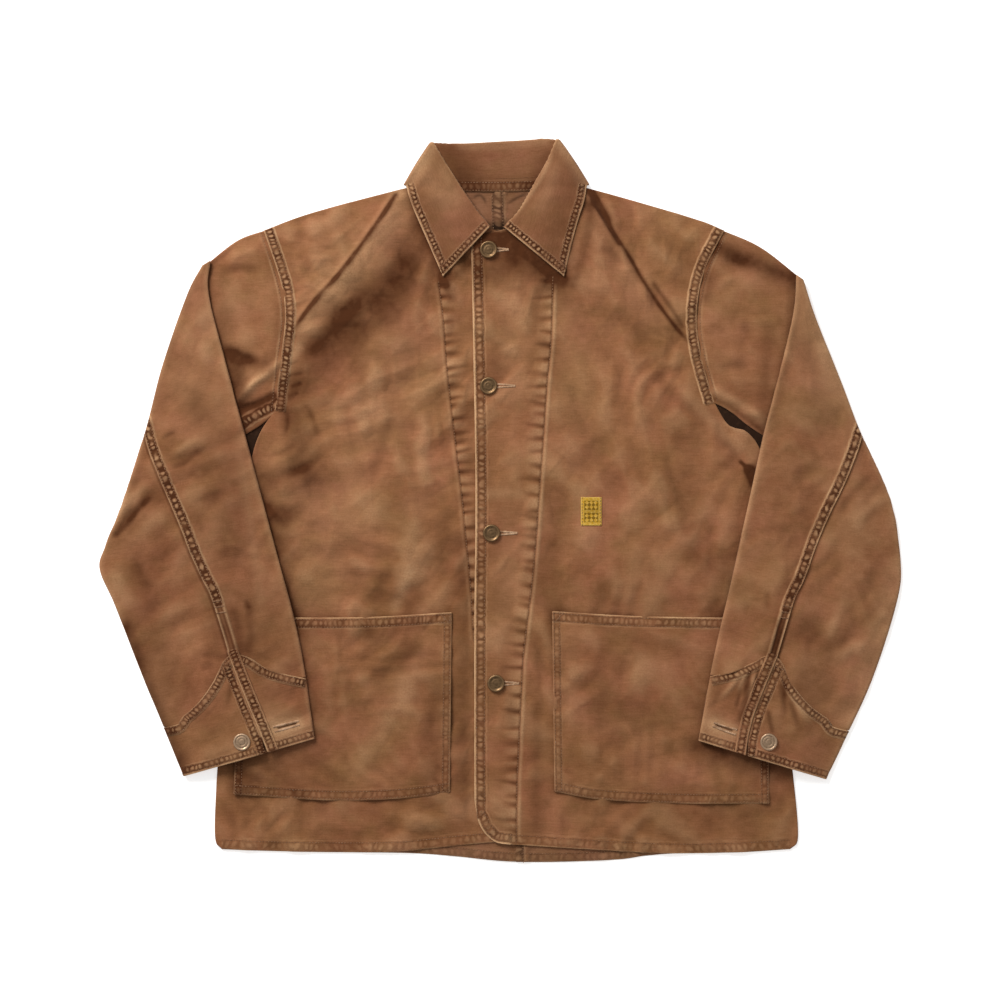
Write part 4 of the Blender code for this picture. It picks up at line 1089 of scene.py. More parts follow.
def coons_patch(u: Array, v: Array, bottom: Array, top: Array, outer: Array, inner: Array) -> Array:
    """Plan points of a four-sided panel.

    Args:
        u: Shares across the panel, from its outer side to its inner one.
        v: Shares up the panel.
        bottom: Points of the lower edge at u.
        top: Points of the upper edge at u.
        outer: Points of the outer edge at v.
        inner: Points of the inner edge at v.

    Returns:
        Rows from the bottom up, of columns from the outer edge to the inner one.
    """
    u, v = u[None, :, None], v[:, None, None]
    low, high, left, right = bottom[None], top[None], outer[:, None], inner[:, None]
    corners = (1 - u) * (1 - v) * low[:, :1] + u * (1 - v) * low[:, -1:]
    corners = corners + (1 - u) * v * high[:, :1] + u * v * high[:, -1:]
    return (1 - v) * low + v * high + (1 - u) * left + u * right - corners


def two_stretches(first: Points, second: Points, second_share: float, t: Array) -> Array:
    """Points at the shares t of an edge that follows one curve, turns a corner and follows another.

    Args:
        first: Points of the first curve.
        second: Points of the second.
        second_share: Share that the second has of the edge.
        t: Shares of the whole edge.

    Returns:
        The points, one row each.
    """
    corner = 1 - second_share
    start = Curve(first).at(t / corner)
    end = Curve(second).at((t - corner) / second_share)
    return np.where((t <= corner + 1e-9)[:, None], start, end)


def graded(*stretches: tuple[float, int]) -> Array:
    """Shares from 0 to 1 in stretches, each of a relative length and a number of steps.

    Args:
        *stretches: Length and number of steps of each stretch.

    Returns:
        The shares, in order.
    """
    steps = np.concatenate([np.full(count, length / count) for length, count in stretches])
    shares = np.concatenate([[0], np.cumsum(steps)])
    return shares / shares[-1]


def crowded(start: float, stop: float, count: int, crowd: float = 0.75) -> Array:
    """Values from start to stop that are closer together near both ends."""
    t = np.linspace(0, 1, count)
    return start + (stop - start) * ((1 - crowd) * t + crowd * (1 - np.cos(math.pi * t)) / 2)


@dataclass
class Wall:
    """A cloth wall round a grid of middle-layer points, fine on its seen face."""

    name: str
    grid: Array
    weave: Array
    up_at: tuple[int, int] = (0, 0)
    shade: Array | None = None
    wear: Array | None = None
    seam: Array | None = None
    thickness: float = WALL
    bevel: float = 0.4
    edge_drop: float = 0.12

    def normals(self) -> Array:
        """Unit normals of the seen face.

        Returns:
            One normal for each point of the grid.
        """
        across, along = np.gradient(self.grid, axis=1), np.gradient(self.grid, axis=0)
        normal = np.cross(across, along)
        size = np.linalg.norm(normal, axis=2, keepdims=True)
        normal = normal / np.maximum(size, 1e-9)
        return normal * np.sign(normal[self.up_at][2])

    def border(self, rows: Array, columns: Array) -> list[tuple[int, int]]:
        """Grid places round the border, in order, on the given rows and columns.

        Args:
            rows: Rows of the grid.
            columns: Columns of the grid.

        Returns:
            Row and column of each place.
        """
        round_it = [(rows[0], j) for j in columns] + [(i, columns[-1]) for i in rows[1:]]
        round_it += [(rows[-1], j) for j in columns[-2::-1]] + [(i, columns[0]) for i in rows[-2:0:-1]]
        return [(int(i), int(j)) for i, j in round_it]

    def build(self, material: Material) -> Object:
        """Makes the wall's mesh.

        Args:
            material: Its cloth.

        Returns:
            A closed mesh object at the origin, with its weave map and its wear.
        """
        count_rows, count_columns = self.grid.shape[:2]
        normal = self.normals()
        top = self.grid + normal * self.thickness / 2
        inward = np.zeros_like(top)
        for axis in (0, 1):
            step = np.gradient(self.grid, axis=axis)
            step = step / np.maximum(np.linalg.norm(step, axis=2, keepdims=True), 1e-9)
            first, last = (0, slice(None)), (-1, slice(None))
            if axis == 1:
                first, last = first[::-1], last[::-1]
            inward[first] += step[first]
            inward[last] -= step[last]
        on_edge = np.abs(inward).sum(axis=2, keepdims=True) > 0
        top = top + inward * self.bevel - normal * on_edge * self.edge_drop
        coarse_rows = np.unique(np.r_[0:count_rows:UNDERSIDE_STEP, count_rows - 1])
        coarse_columns = np.unique(np.r_[0:count_columns:UNDERSIDE_STEP, count_columns - 1])
        under = (self.grid - normal * self.thickness / 2)[np.ix_(coarse_rows, coarse_columns)]
        fine_border = self.border(np.arange(count_rows), np.arange(count_columns))
        ring = np.array([self.grid[place] for place in fine_border])

        top_index = np.arange(count_rows * count_columns).reshape(count_rows, count_columns)
        ring_start = top_index.size
        under_start = ring_start + len(ring)
        under_index = under_start + np.arange(coarse_rows.size * coarse_columns.size).reshape(
            coarse_rows.size, coarse_columns.size)
        faces = self.quads(top_index).tolist() + self.quads(under_index)[:, ::-1].tolist()
        count = len(ring)
        for k in range(count):
            here, after = fine_border[k], fine_border[(k + 1) % count]
            faces.append([top_index[after], top_index[here], ring_start + k, ring_start + (k + 1) % count])
        row_of = {int(i): n for n, i in enumerate(coarse_rows)}
        column_of = {int(j): n for n, j in enumerate(coarse_columns)}
        stops = [k for k, (i, j) in enumerate(fine_border)
                 if i in row_of and j in column_of and (i in (0, count_rows - 1) or j in (0, count_columns - 1))]
        for start, stop in zip(stops, stops[1:] + [stops[0] + count]):
            run = [ring_start + k % count for k in range(start, stop + 1)]
            ends = [fine_border[k % count] for k in (stop, start)]
            faces.append(run[::-1] + [int(under_index[row_of[i], column_of[j]]) for i, j in ends[::-1]])
        points = np.concatenate([top.reshape(-1, 3), ring, under.reshape(-1, 3)])

        def spread(values: Array) -> Array:
            """The same values for the seen face, the rim and the underside.

            Args:
                values: Values of the grid.

            Returns:
                One row for each point of the mesh.
            """
            rim = np.array([values[place] for place in fine_border]).reshape(count, -1)
            below = values[np.ix_(coarse_rows, coarse_columns)].reshape(under_index.size, -1)
            return np.concatenate([values.reshape(top_index.size, -1), rim, below])

        item = mesh_object(self.name, points * MM, faces, material)
        blank = np.zeros((count_rows, count_columns))
        for name, values in (("shade", self.shade), ("wear", self.wear)):
            layer = item.data.attributes.new(name, "FLOAT", "POINT")
            values = blank if values is None else np.clip(values, 0, 1)
            layer.data.foreach_set("value", spread(values).ravel().astype(np.float32))
        layer = item.data.attributes.new("seam", "FLOAT_VECTOR", "POINT")
        values = np.zeros((count_rows, count_columns, 3)) if self.seam is None else self.seam
        layer.data.foreach_set("vector", spread(values).ravel().astype(np.float32))
        corners = np.empty(len(item.data.loops), np.int32)
        item.data.loops.foreach_get("vertex_index", corners)
        weave = item.data.uv_layers.new(name="weave")
        weave.data.foreach_set("uv", (spread(self.weave * MM)[corners]).ravel().astype(np.float32))
        return item

    @staticmethod
    def quads(index: Array) -> Array:
        """Four-sided faces between the points of a grid."""
        return np.stack([index[:-1, :-1], index[:-1, 1:], index[1:, 1:], index[1:, :-1]], axis=-1).reshape(-1, 4)


def mesh_object(name: str, points: Array, faces: Sequence, material: Material) -> Object:
    """A smooth-shaded closed mesh object whose faces point outwards.

    Args:
        name: Its name.
        points: Its points, in metres.
        faces: Its faces, as point numbers, all turned the same way.
        material: Its material.

    Returns:
        The object, linked to the scene.
    """
    mesh = bpy.data.meshes.new(name)
    mesh.from_pydata(points.tolist(), [], [list(map(int, face)) for face in faces])
    mesh.validate()
    mesh.calc_loop_triangles()
    corners = np.empty(len(mesh.loop_triangles) * 3, np.int32)
    mesh.loop_triangles.foreach_get("vertices", corners)
    if np.linalg.det(points[corners].reshape(-1, 3, 3)).sum() < 0:
        mesh.flip_normals()
    mesh.shade_smooth()
    mesh.materials.append(material)
    item = bpy.data.objects.new(name, mesh)
    bpy.context.scene.collection.objects.link(item)
    return item


def add_node(tree: bpy.types.NodeTree, kind: str, settings: dict | None = None,
             **inputs: object) -> bpy.types.Node:
    """Adds a node.

    Args:
        tree: The tree that it joins.
        kind: Its type.
        settings: Values of its properties.
        **inputs: For each input, a socket or a value. Its name has _ for a space, or is i and its number.

    Returns:
        The node.
    """
    made = tree.nodes.new(kind)
    for key, value in (settings or {}).items():
        setattr(made, key, value)
    for key, value in inputs.items():
        socket = made.inputs[int(key[1:]) if key[1:].isdigit() else key.replace("_", " ")]
        if isinstance(value, Socket):
            tree.links.new(value, socket)
        else:
            socket.default_value = value
    return made


@dataclass
class Thread:
    """Stitches that follow rows on cloth, as raised ovals of thread."""

    pitch: float = 3.1
    length: float = 2.3
    width: float = 0.85
    rise: float = 0.46
    unevenness: tuple[float, float] = (0.82, 1.12)
    seed: int = 7

    def tree(self, material: Material) -> bpy.types.NodeTree:
        """Geometry nodes that set one stitch at every pitch along each row.

        Args:
            material: The thread's material.

        Returns:
            The tree, with the stitch's sizes as its inputs.
        """
        tree = bpy.data.node_groups.new("stitch_rows", "GeometryNodeTree")
        sockets = tree.interface
        sockets.new_socket("Geometry", in_out="INPUT", socket_type="NodeSocketGeometry")
        for name in ("Pitch", "Length", "Width", "Rise"):
            socket = sockets.new_socket(name, in_out="INPUT", socket_type="NodeSocketFloat")
            socket.default_value = getattr(self, name.lower()) * MM
        sockets.new_socket("Geometry", in_out="OUTPUT", socket_type="NodeSocketGeometry")
        given = add_node(tree, "NodeGroupInput").outputs
        curve = add_node(tree, "GeometryNodeMeshToCurve", Mesh=given["Geometry"]).outputs[0]
        spaced = add_node(tree, "GeometryNodeResampleCurve", {"mode": "LENGTH"}, Curve=curve,
                          Length=given["Pitch"])
        tangent = add_node(tree, "GeometryNodeInputTangent").outputs[0]
        turn = add_node(tree, "FunctionNodeAlignRotationToVector", {"axis": "X"}, Vector=tangent)
        bead = add_node(tree, "GeometryNodeMeshIcoSphere", Radius=0.5, Subdivisions=1)
        size = add_node(tree, "ShaderNodeCombineXYZ", X=given["Length"], Y=given["Width"], Z=given["Rise"])
        least, most = self.unevenness
        chance = add_node(tree, "FunctionNodeRandomValue", {"data_type": "FLOAT"}, i2=least, i3=most,
                          Seed=self.seed)
        uneven = add_node(tree, "ShaderNodeVectorMath", {"operation": "SCALE"}, i0=size.outputs[0],
                          Scale=chance.outputs[1])
        place = add_node(tree, "GeometryNodeInstanceOnPoints", Points=spaced.outputs[0],
                         Instance=bead.outputs["Mesh"], Rotation=turn.outputs[0], Scale=uneven.outputs[0])
        made = place.outputs[0]
        for kind in ("GeometryNodeRealizeInstances", "GeometryNodeSetShadeSmooth"):
            made = add_node(tree, kind, Geometry=made).outputs[0]
        dress = add_node(tree, "GeometryNodeSetMaterial", Geometry=made, Material=material)
        add_node(tree, "NodeGroupOutput", Geometry=dress.outputs[0])
        return tree

    def sew(self, name: str, rows: Sequence[Array], material: Material) -> Object:
        """Sews stitches along rows.

        Args:
            name: The new piece's name.
            rows: Points of each row, in metres.
            material: The thread's material.

        Returns:
            One mesh object of all the stitches.
        """
        mesh = bpy.data.meshes.new(f"{name}_rows")
        points, edges = [], []
        for row in rows:
            edges += [(len(points) + k, len(points) + k + 1) for k in range(len(row) - 1)]
            points += [tuple(point) for point in row]
        mesh.from_pydata(points, edges, [])
        guide = bpy.data.objects.new(f"{name}_rows", mesh)
        bpy.context.scene.collection.objects.link(guide)
        modifier = guide.modifiers.new("stitches", "NODES")
        modifier.node_group = self.tree(material)
        for socket in modifier.node_group.interface.items_tree:
            if socket.in_out == "INPUT" and socket.socket_type == "NodeSocketFloat":
                modifier[socket.identifier] = socket.default_value
        graph = bpy.context.evaluated_depsgraph_get()
        made = bpy.data.meshes.new_from_object(guide.evaluated_get(graph), depsgraph=graph)
        guide.modifiers.clear()
        bpy.data.objects.remove(guide, do_unlink=True)
        made.name = name
        item = bpy.data.objects.new(name, made)
        bpy.context.scene.collection.objects.link(item)
        return item


def rows_on(item: Object, rows: Sequence[Array], above: float = 0.08, break_at: float = 4.0) -> list[Array]:
    """Lays plan rows down onto a piece, from above.

    Args:
        item: The piece.
        rows: Points of each row, in mm.
        above: Height of the thread's middle over the cloth.
        break_at: A row is cut where it would jump by more than this height.

    Returns:
        The rows in metres, without the points that miss the piece.
    """
    mesh = item.data
    points = np.empty(len(mesh.vertices) * 3)
    mesh.vertices.foreach_get("co", points)
    tree = BVHTree.FromPolygons(points.reshape(-1, 3).tolist(), [tuple(p.vertices) for p in mesh.polygons])
    found = []
    for row in rows:
        run: list[tuple[float, float, float]] = []
        for x, y in np.asarray(row)[:, :2] * MM:
            hit = tree.ray_cast((float(x), float(y), 0.2), (0, 0, -1))[0]
            if hit is None or (run and abs(hit.z + above * MM - run[-1][2]) > break_at * MM):
                if len(run) > 2:
                    found.append(np.array(run))
                run = []
            if hit is not None:
                run.append((hit.x, hit.y, hit.z + above * MM))
        if len(run) > 2:
            found.append(np.array(run))
    return found


# ---------------------------------------------------------------- finishes
class Nodes:
    """A material under construction."""

    def __init__(self, name: str) -> None:
        """Starts a material with one plain shader.

        Args:
            name: The material's name.
        """
        self.material = bpy.data.materials.new(name)
        self.material.use_nodes = True
        self.tree = self.material.node_tree
        self.shader = self.tree.nodes["Principled BSDF"]

    def node(self, kind: str, settings: dict | None = None, **inputs: object) -> bpy.types.Node:
        """Adds a node to the material, as add_node does."""
        return add_node(self.tree, kind, settings, **inputs)

    def where(self, kind: str) -> Socket:
        """Coordinates of one kind."""
        return self.node("ShaderNodeTexCoord").outputs[kind]

    def maths(self, operation: str, *values: object) -> Socket:
        """The result of a sum on sockets or numbers."""
        inputs = {f"i{k}": value for k, value in enumerate(values)}
        return self.node("ShaderNodeMath", {"operation": operation}, **inputs).outputs[0]

    def times(self, first: object, *others: object) -> Socket:
        """The product of sockets or numbers."""
        return reduce(lambda product, other: self.maths("MULTIPLY", product, other), others, first)

    def plus(self, first: object, second: object) -> Socket:
        """The sum of two sockets or numbers."""
        return self.maths("ADD", first, second)

    def noise(self, where: Socket, scale: float, detail: float = 2.0, rough: float = 0.5) -> Socket:
        """Noise between 0 and 1."""
        made = self.node("ShaderNodeTexNoise", Vector=where, Scale=scale, Detail=detail, Roughness=rough)
        return made.outputs["Fac"]

    def stretched(self, where: Socket, size: tuple[float, float, float]) -> Socket:
        """A pattern's coordinates, scaled."""
        return self.node("ShaderNodeMapping", Vector=where, Scale=size).outputs["Vector"]

    def between(self, value: Socket, low: float, high: float, start: float = 0.0, stop: float = 1.0) -> Socket:
        """A value's part from low to high, spread from start to stop."""
        inputs = {"Value": value, "From_Min": low, "From_Max": high, "To_Min": start, "To_Max": stop}
        return self.node("ShaderNodeMapRange", **inputs).outputs["Result"]

    def mixed(self, share: object, first: object, second: object, blend: str = "MIX") -> Socket:
        """Two colours mixed."""
        settings = {"data_type": "RGBA", "blend_type": blend}
        return self.node("ShaderNodeMix", settings, i0=share, i6=first, i7=second).outputs[2]

    def attribute(self, name: str) -> Socket:
        """A value that the mesh carries."""
        return self.node("ShaderNodeAttribute", {"attribute_name": name}).outputs["Fac"]

    def finish(self, colour: Socket, bump: Socket | None, depth: float, **sockets: object) -> Material:
        """Wires the shader.

        Args:
            colour: Base colour.
            bump: Height between 0 and 1, if there is any relief.
            depth: Metres that the height stands for.
            **sockets: The shader's other inputs, named with _ for a space.

        Returns:
            The finished material.
        """
        self.tree.links.new(colour, self.shader.inputs["Base Color"])
        for key, value in sockets.items():
            if isinstance(value, Socket):
                self.tree.links.new(value, self.shader.inputs[key.replace("_", " ")])
            else:
                self.shader.inputs[key.replace("_", " ")].default_value = value
        if bump is not None:
            relief = self.node("ShaderNodeBump", Height=bump, Distance=depth, Strength=1.0)
            self.tree.links.new(relief.outputs["Normal"], self.shader.inputs["Normal"])
        return self.material


Colour = tuple[float, float, float, float]


@dataclass(frozen=True)
class Duck:
    """Washed duck that has lost colour: uneven brown, slubby across, pale where rubbed.

    It is also painted dark where shade falls and pale where a highlight is painted.
    """

    name: str
    body: Colour = (0.268, 0.117, 0.048, 1)
    ruddy: Colour = (0.295, 0.113, 0.054, 1)
    olive: Colour = (0.200, 0.102, 0.034, 1)
    pale: Colour = (0.60, 0.36, 0.19, 1)
    dark: Colour = (0.062, 0.017, 0.0038, 1)
    thread: float = 0.00085
    streaks: tuple[float, float] = (0.93, 1.07)
    specks: tuple[float, float] = (0.9, 1.1)
    mottling: tuple[float, float] = (0.945, 1.055)
    cells: tuple[float, float] = (0.96, 1.04)
    fading: tuple[float, float] = (0.80, 1.19)

    def make(self) -> Material:
        """Builds the material.

        Returns:
            The material.
        """
        n = Nodes(self.name)
        cloth, space = n.where("UV"), n.where("Object")
        cast = n.between(n.noise(space, 13, 3), 0.38, 0.64)
        colour = n.mixed(n.times(cast, 0.8), self.body, self.ruddy)
        spots = n.between(n.noise(n.stretched(space, (20, 27, 25)), 1.0, 5, 0.6), 0.46, 0.70)
        colour = n.mixed(n.times(spots, 0.48), colour, self.olive)
        slub = n.noise(n.stretched(cloth, (62, 640, 1)), 1.0, 2, 0.6)
        warp = n.noise(n.stretched(cloth, (900, 60, 1)), 1.0, 2, 0.6)
        grain = n.noise(cloth, 620, 2, 0.7)
        threads = n.plus(n.times(slub, 0.78), n.times(warp, 0.22))
        streak = n.between(threads, 0.36, 0.64, *self.streaks)
        speck = n.between(grain, 0.3, 0.7, *self.specks)
        mottle = n.between(n.noise(space, 115, 3, 0.6), 0.34, 0.66, *self.mottling)
        tone = n.times(streak, speck, mottle)
        bend = n.node("ShaderNodeTexNoise", Vector=space, Scale=90.0, Detail=4.0).outputs["Color"]
        bent = n.node("ShaderNodeVectorMath", {"operation": "ADD"}, i0=n.stretched(space, (48, 60, 48)),
                      i1=bend).outputs[0]
        cells = n.node("ShaderNodeTexVoronoi", Vector=bent, Scale=1.0, Detail=1.0, Roughness=0.7).outputs["Color"]
        cell = n.node("ShaderNodeSeparateXYZ", Vector=cells).outputs["X"]
        tone = n.times(tone, n.between(cell, 0, 1, *self.cells))
        fade = n.between(n.noise(n.stretched(space, (15, 22, 20)), 1.0, 6, 0.67), 0.34, 0.66, *self.fading)
        # Painted light: the cloth is a little lighter towards the collar and darker towards the hem, as if the
        # light fell from above the collar.
        low = n.node("ShaderNodeSeparateXYZ", Vector=space).outputs["Y"]
        tone = n.times(tone, fade, n.between(low, -0.38, 0.26, 0.97, 1.03))
        tint = {axis: n.maths("POWER", tone, power) for axis, power in zip("XYZ", (0.82, 1.0, 1.32))}
        colour = n.mixed(1.0, colour, n.node("ShaderNodeCombineXYZ", **tint).outputs[0], "MULTIPLY")
        dark, pale, bead = self.band(n, cloth)
        # The mesh's wear mark, wear and painted highlights, turns the cloth pale; its shade mark, mostly painted
        # shade, turns it dark.
        worn = n.times(n.attribute("wear"), n.between(n.noise(cloth, 520, 2, 0.7), 0.35, 0.62, 0.62, 1.1))
        colour = n.mixed(n.maths("MINIMUM", n.plus(worn, pale), 1.0), colour, self.pale)
        shade = n.times(n.attribute("shade"), n.between(n.noise(space, 150, 3, 0.5), 0.3, 0.7, 0.88, 1.06))
        colour = n.mixed(n.maths("MINIMUM", n.plus(shade, dark), 0.96), colour, self.dark)
        wave = {"wave_type": "BANDS", "wave_profile": "SIN"}
        per_metre = 1 / (self.thread * 3.2)
        bands = [n.node("ShaderNodeTexWave", {**wave, "bands_direction": way}, Vector=cloth, Scale=per_metre,
                        Distortion=0.6).outputs["Fac"] for way in "YX"]
        woven = n.times(*bands)
        relief = n.plus(n.times(woven, 0.25), n.times(threads, 0.75))
        relief = n.plus(relief, bead)
        return n.finish(colour, relief, 0.00042, Roughness=0.92, Sheen_Weight=0.06, Sheen_Roughness=0.5,
                        Specular_IOR_Level=0.12)

    @staticmethod
    def band(n: Nodes, cloth: Socket) -> tuple[Socket, ...]:
        """What a stitched band does to the cloth between and beside its two rows.

        Args:
            n: The material.
            cloth: Its coordinates along and across the threads.

        Returns:
            Painted shade in the rows and in the gaps between the beads, paleness of the beads, as wear and a
            painted highlight, and of the worn lines outside the rows, and the beads' relief.
        """
        seam = n.node("ShaderNodeAttribute", {"attribute_name": "seam"}).outputs["Vector"]
        place = n.node("ShaderNodeSeparateXYZ", Vector=seam).outputs
        run = n.maths("MULTIPLY_ADD", n.noise(cloth, 60, 1), 1.9, place["X"])
        across = n.plus(place["Y"], n.between(n.noise(cloth, 200, 1), 0.3, 0.7, -0.60, -0.40))
        force = n.times(place["Z"], n.between(n.noise(cloth, 80, 2), 0.34, 0.66, 0.45, 1.25))
        half = n.maths("DIVIDE", n.maths("SUBTRACT", n.maths("FRACT", run), 0.5), 0.37)
        side = n.maths("DIVIDE", across, 0.38)
        far = n.plus(n.times(half, half), n.times(side, side))
        bead = n.between(far, 1.2, 0.2)
        aside = n.maths("ABSOLUTE", across)
        inside = n.between(aside, 0.62, 0.48)
        edge = n.between(n.maths("ABSOLUTE", n.maths("SUBTRACT", aside, 0.74)), 0.13, 0.03)
        # Painted shade between the beads, and paler beads as wear and a painted highlight.
        dark = n.times(inside, n.maths("SUBTRACT", 1.0, bead), force)
        pale = n.plus(n.times(bead, 0.40), n.times(edge, 0.26))
        return n.times(dark, 0.62), n.times(pale, force), n.times(bead, force)


@dataclass(frozen=True)
class Cotton:
    """Sewing thread, a little paler than the cloth."""

    name: str = "sewing_thread"
    colour: Colour = (0.17, 0.072, 0.028, 1)
    lighter: Colour = (0.30, 0.155, 0.075, 1)

    def make(self) -> Material:
        """Builds the material.

        Returns:
            The material.
        """
        n = Nodes(self.name)
        where = n.where("Object")
        colour = n.mixed(n.between(n.noise(where, 160, 3), 0.35, 0.65), self.colour, self.lighter)
        return n.finish(colour, n.noise(where, 2600, 1), 0.0001, Roughness=0.85, Sheen_Weight=0.1)


@dataclass(frozen=True)
class Bronze:
    """Aged metal of a tack button: dull in its hollows and bright where it is rubbed."""

    name: str
    metal: Colour
    tarnish: Colour
    rough: float = 0.42

    def make(self) -> Material:
        """Builds the material.

        Returns:
            The material.
        """
        n = Nodes(self.name)
        where = n.where("Object")
        rubbed = n.attribute("wear")
        blotch = n.between(n.noise(where, 420, 4, 0.65), 0.35, 0.68)
        share = n.times(blotch, n.maths("SUBTRACT", 1.0, rubbed))
        colour = n.mixed(share, self.metal, self.tarnish)
        rough = n.between(blotch, 0.0, 1.0, self.rough - 0.08, self.rough + 0.16)
        return n.finish(colour, n.noise(where, 1500, 3, 0.6), 0.00006, Roughness=rough, Metallic=0.85)


@dataclass(frozen=True)
class Floor:
    """A plain pale floor."""

    name: str = "pale_floor"
    colour: Colour = (0.95, 0.95, 0.95, 1)

    def make(self) -> Material:
        """Builds the material.

        Returns:
            The material.
        """
        n = Nodes(self.name)
        where = n.where("Object")
        colour = n.mixed(n.noise(where, 3), self.colour, (0.96, 0.96, 0.96, 1))
        return n.finish(colour, None, 0.0, Roughness=0.95, Specular_IOR_Level=0.0)


# ---------------------------------------------------------------- heights of the layers
BODY_OUTLINE = Region(SIDE_SEAM[RIGHT], ARMHOLE[RIGHT], SHOULDER[RIGHT], NECK[RIGHT], NECK[LEFT][-2::-1],
                      SHOULDER[LEFT][::-1], ARMHOLE[LEFT][::-1], SIDE_SEAM[LEFT][::-1], HEM[LEFT],
                      HEM[RIGHT][::-1])
SLEEVE_OUTLINES = tuple(Region(SLEEVE_INNER[side], SLEEVE_OUTER[side][::-1]) for side in Side)
LEFT_FRONT_OUTLINE = Region(SIDE_SEAM[LEFT], ARMHOLE[LEFT], SHOULDER[LEFT], NECK[LEFT], EDGE[LEFT][::-1],
                            FRONT_CORNER[::-1], HEM[LEFT][::-1])


def back_mid(y: Array) -> Array:
    """The back lies on the surface and climbs onto the collar's fall at the neck."""
    return FLOOR_MID + STEP * ease(*FALL_LIFT, y)


def body_lift(x: Array, y: Array) -> Array:
    """How far the fronts' large folds and the air under them lift the cloth.

    Args:
        x: Plan coordinates, of any shape.
        y: The others, of the same shape.

    Returns:
        Heights of the same shape, 0 outside the body.
    """
    cloth = Relief(x, y).take(BODY_SWELLS)
    depth = BODY_OUTLINE.depth(cloth.x, cloth.y, AIR_REACH)
    height = AIR * ease(0, AIR_REACH, depth) + cloth.height * ease(0, 13, depth)
    return height.reshape(np.shape(x))


def fronts_mid(x: Array, y: Array, lap: Array | float = 0.0) -> Array:
    """A front lies on the back, with its large folds, or one layer higher where lap is 1."""
    return back_mid(y) + STEP * (1 + lap) + body_lift(x, y)


def on_lap(x: Array) -> Array:
    """1 where whatever lies on the fronts lies on both of them."""
    return ease(*LAP_RISE, x) - ease(*LAP_DROP, x)


def uncovered(cloth: Relief, covers: Sequence[Region]) -> Array:
    """1 where cloth shows and 0 well under any of the covers.

    Args:
        cloth: The cloth's points.
        covers: Outlines of what lies on it.

    Returns:
        A weight for each point.
    """
    weight = np.ones_like(cloth.x)
    for cover in covers:
        weight *= 1 - ease(2, 7, cover.depth(cloth.x, cloth.y, 7))
    return weight


def crumple(cloth: Relief, seed: int, force: float = 1.0) -> Array:
    """Small unevenness of washed cloth: lumps, creases that wander, and flat-sided wrinkles in patches.

    Args:
        cloth: The cloth's points.
        seed: Choice of the unevenness.
        force: How strong it is.

    Returns:
        Heights in mm.
    """
    x, y = cloth.x, cloth.y
    parts = ((46, 0.62), (19, 0.34), (8.5, 0.12), (4.2, 0.05))
    height = sum(size * Noise(lump, seed + k).at(x, y) for k, (lump, size) in enumerate(parts))
    for k, (lump, turn, size) in enumerate(((58, 0.7, 0.36), (41, -0.9, 0.26), (30, 1.5, 0.24))):
        c, s = math.cos(turn), math.sin(turn)
        line = np.exp(-((Noise(lump, seed + 10 + k, 1.7).at(x * c - y * s, x * s + y * c) / 0.15) ** 2))
        place = np.clip(0.15 + 1.2 * Noise(64, seed + 20 + k).at(x, y), 0, 1)
        height = height + (-1) ** k * size * line * place
    chance = np.random.RandomState(seed)
    for k in range(8):
        turn, size = chance.uniform(0, math.pi), chance.uniform(20, 58)
        run = (x * math.cos(turn) + y * math.sin(turn)) / size + 0.6 * Noise(1.9 * size, seed + 30 + k).at(x, y)
        place = np.clip(0.1 + 1.5 * Noise(66, seed + 40 + k).at(x, y), 0, 1)
        height = height + 0.03 * size * (np.abs(2 * (run - np.floor(run)) - 1) - 0.5) * place
    return force * height


def seat(item: Object, slot: str, *nodes: str) -> Object:
    """Ties a piece to the body, hides the CAD nodes that it stands for, and reports it.

    Args:
        item: The piece.
        slot: Its material slot; not used.
        *nodes: CAD nodes that it replaces.

    Returns:
        The piece.
    """
    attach(item, BODY)
    if nodes:
        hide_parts(*nodes)
    LOG.info("%s: %d faces", item.name, len(item.data.polygons))
    return item


def lay(name: str, node: str, slot: str, material: Material, grid: Array, weave: Array, cloth: Relief,
        up_at: tuple[int, int] = (0, 0)) -> Object:
    """Makes a wall of cloth that carries the marks of its relief, and seats it.

    Args:
        name: The piece's name.
        node: CAD node that it stands for.
        slot: Its material slot.
        material: Its cloth.
        grid: Points of its middle layer.
        weave: Coordinates along and across its threads.
        cloth: Its relief.
        up_at: Row and column of a point at which its seen face looks up.

    Returns:
        The piece.
    """
    wall = Wall(name, grid, weave, up_at, **cloth.marks(grid.shape[:2]))
    return seat(wall.build(material), slot, node)


@dataclass
class Sewing:
    """Stitches of one kind over the whole jacket."""

    thread: Material
    kind: Thread = field(default_factory=Thread)
    purl: Material | None = None

    def on(self, item: Object, rows: Sequence[Array], slot: str, suffix: str = "stitches",
           above: float = 0.08) -> list[Object]:
        """Sews rows onto a piece.

        Args:
            item: The piece.
            rows: Plan points of each row, in mm.
            slot: Material slot of the piece that they are sewn on.
            suffix: End of the new piece's name.
            above: Height of the thread's middle over the cloth, in mm.

        Returns:
            The stitches as a list of one piece, or of none where no row meets the piece.
        """
        found = rows_on(item, rows, above)
        if not found:
            return []
        return [seat(self.kind.sew(f"{item.name}_{suffix}", found, self.thread), slot)]


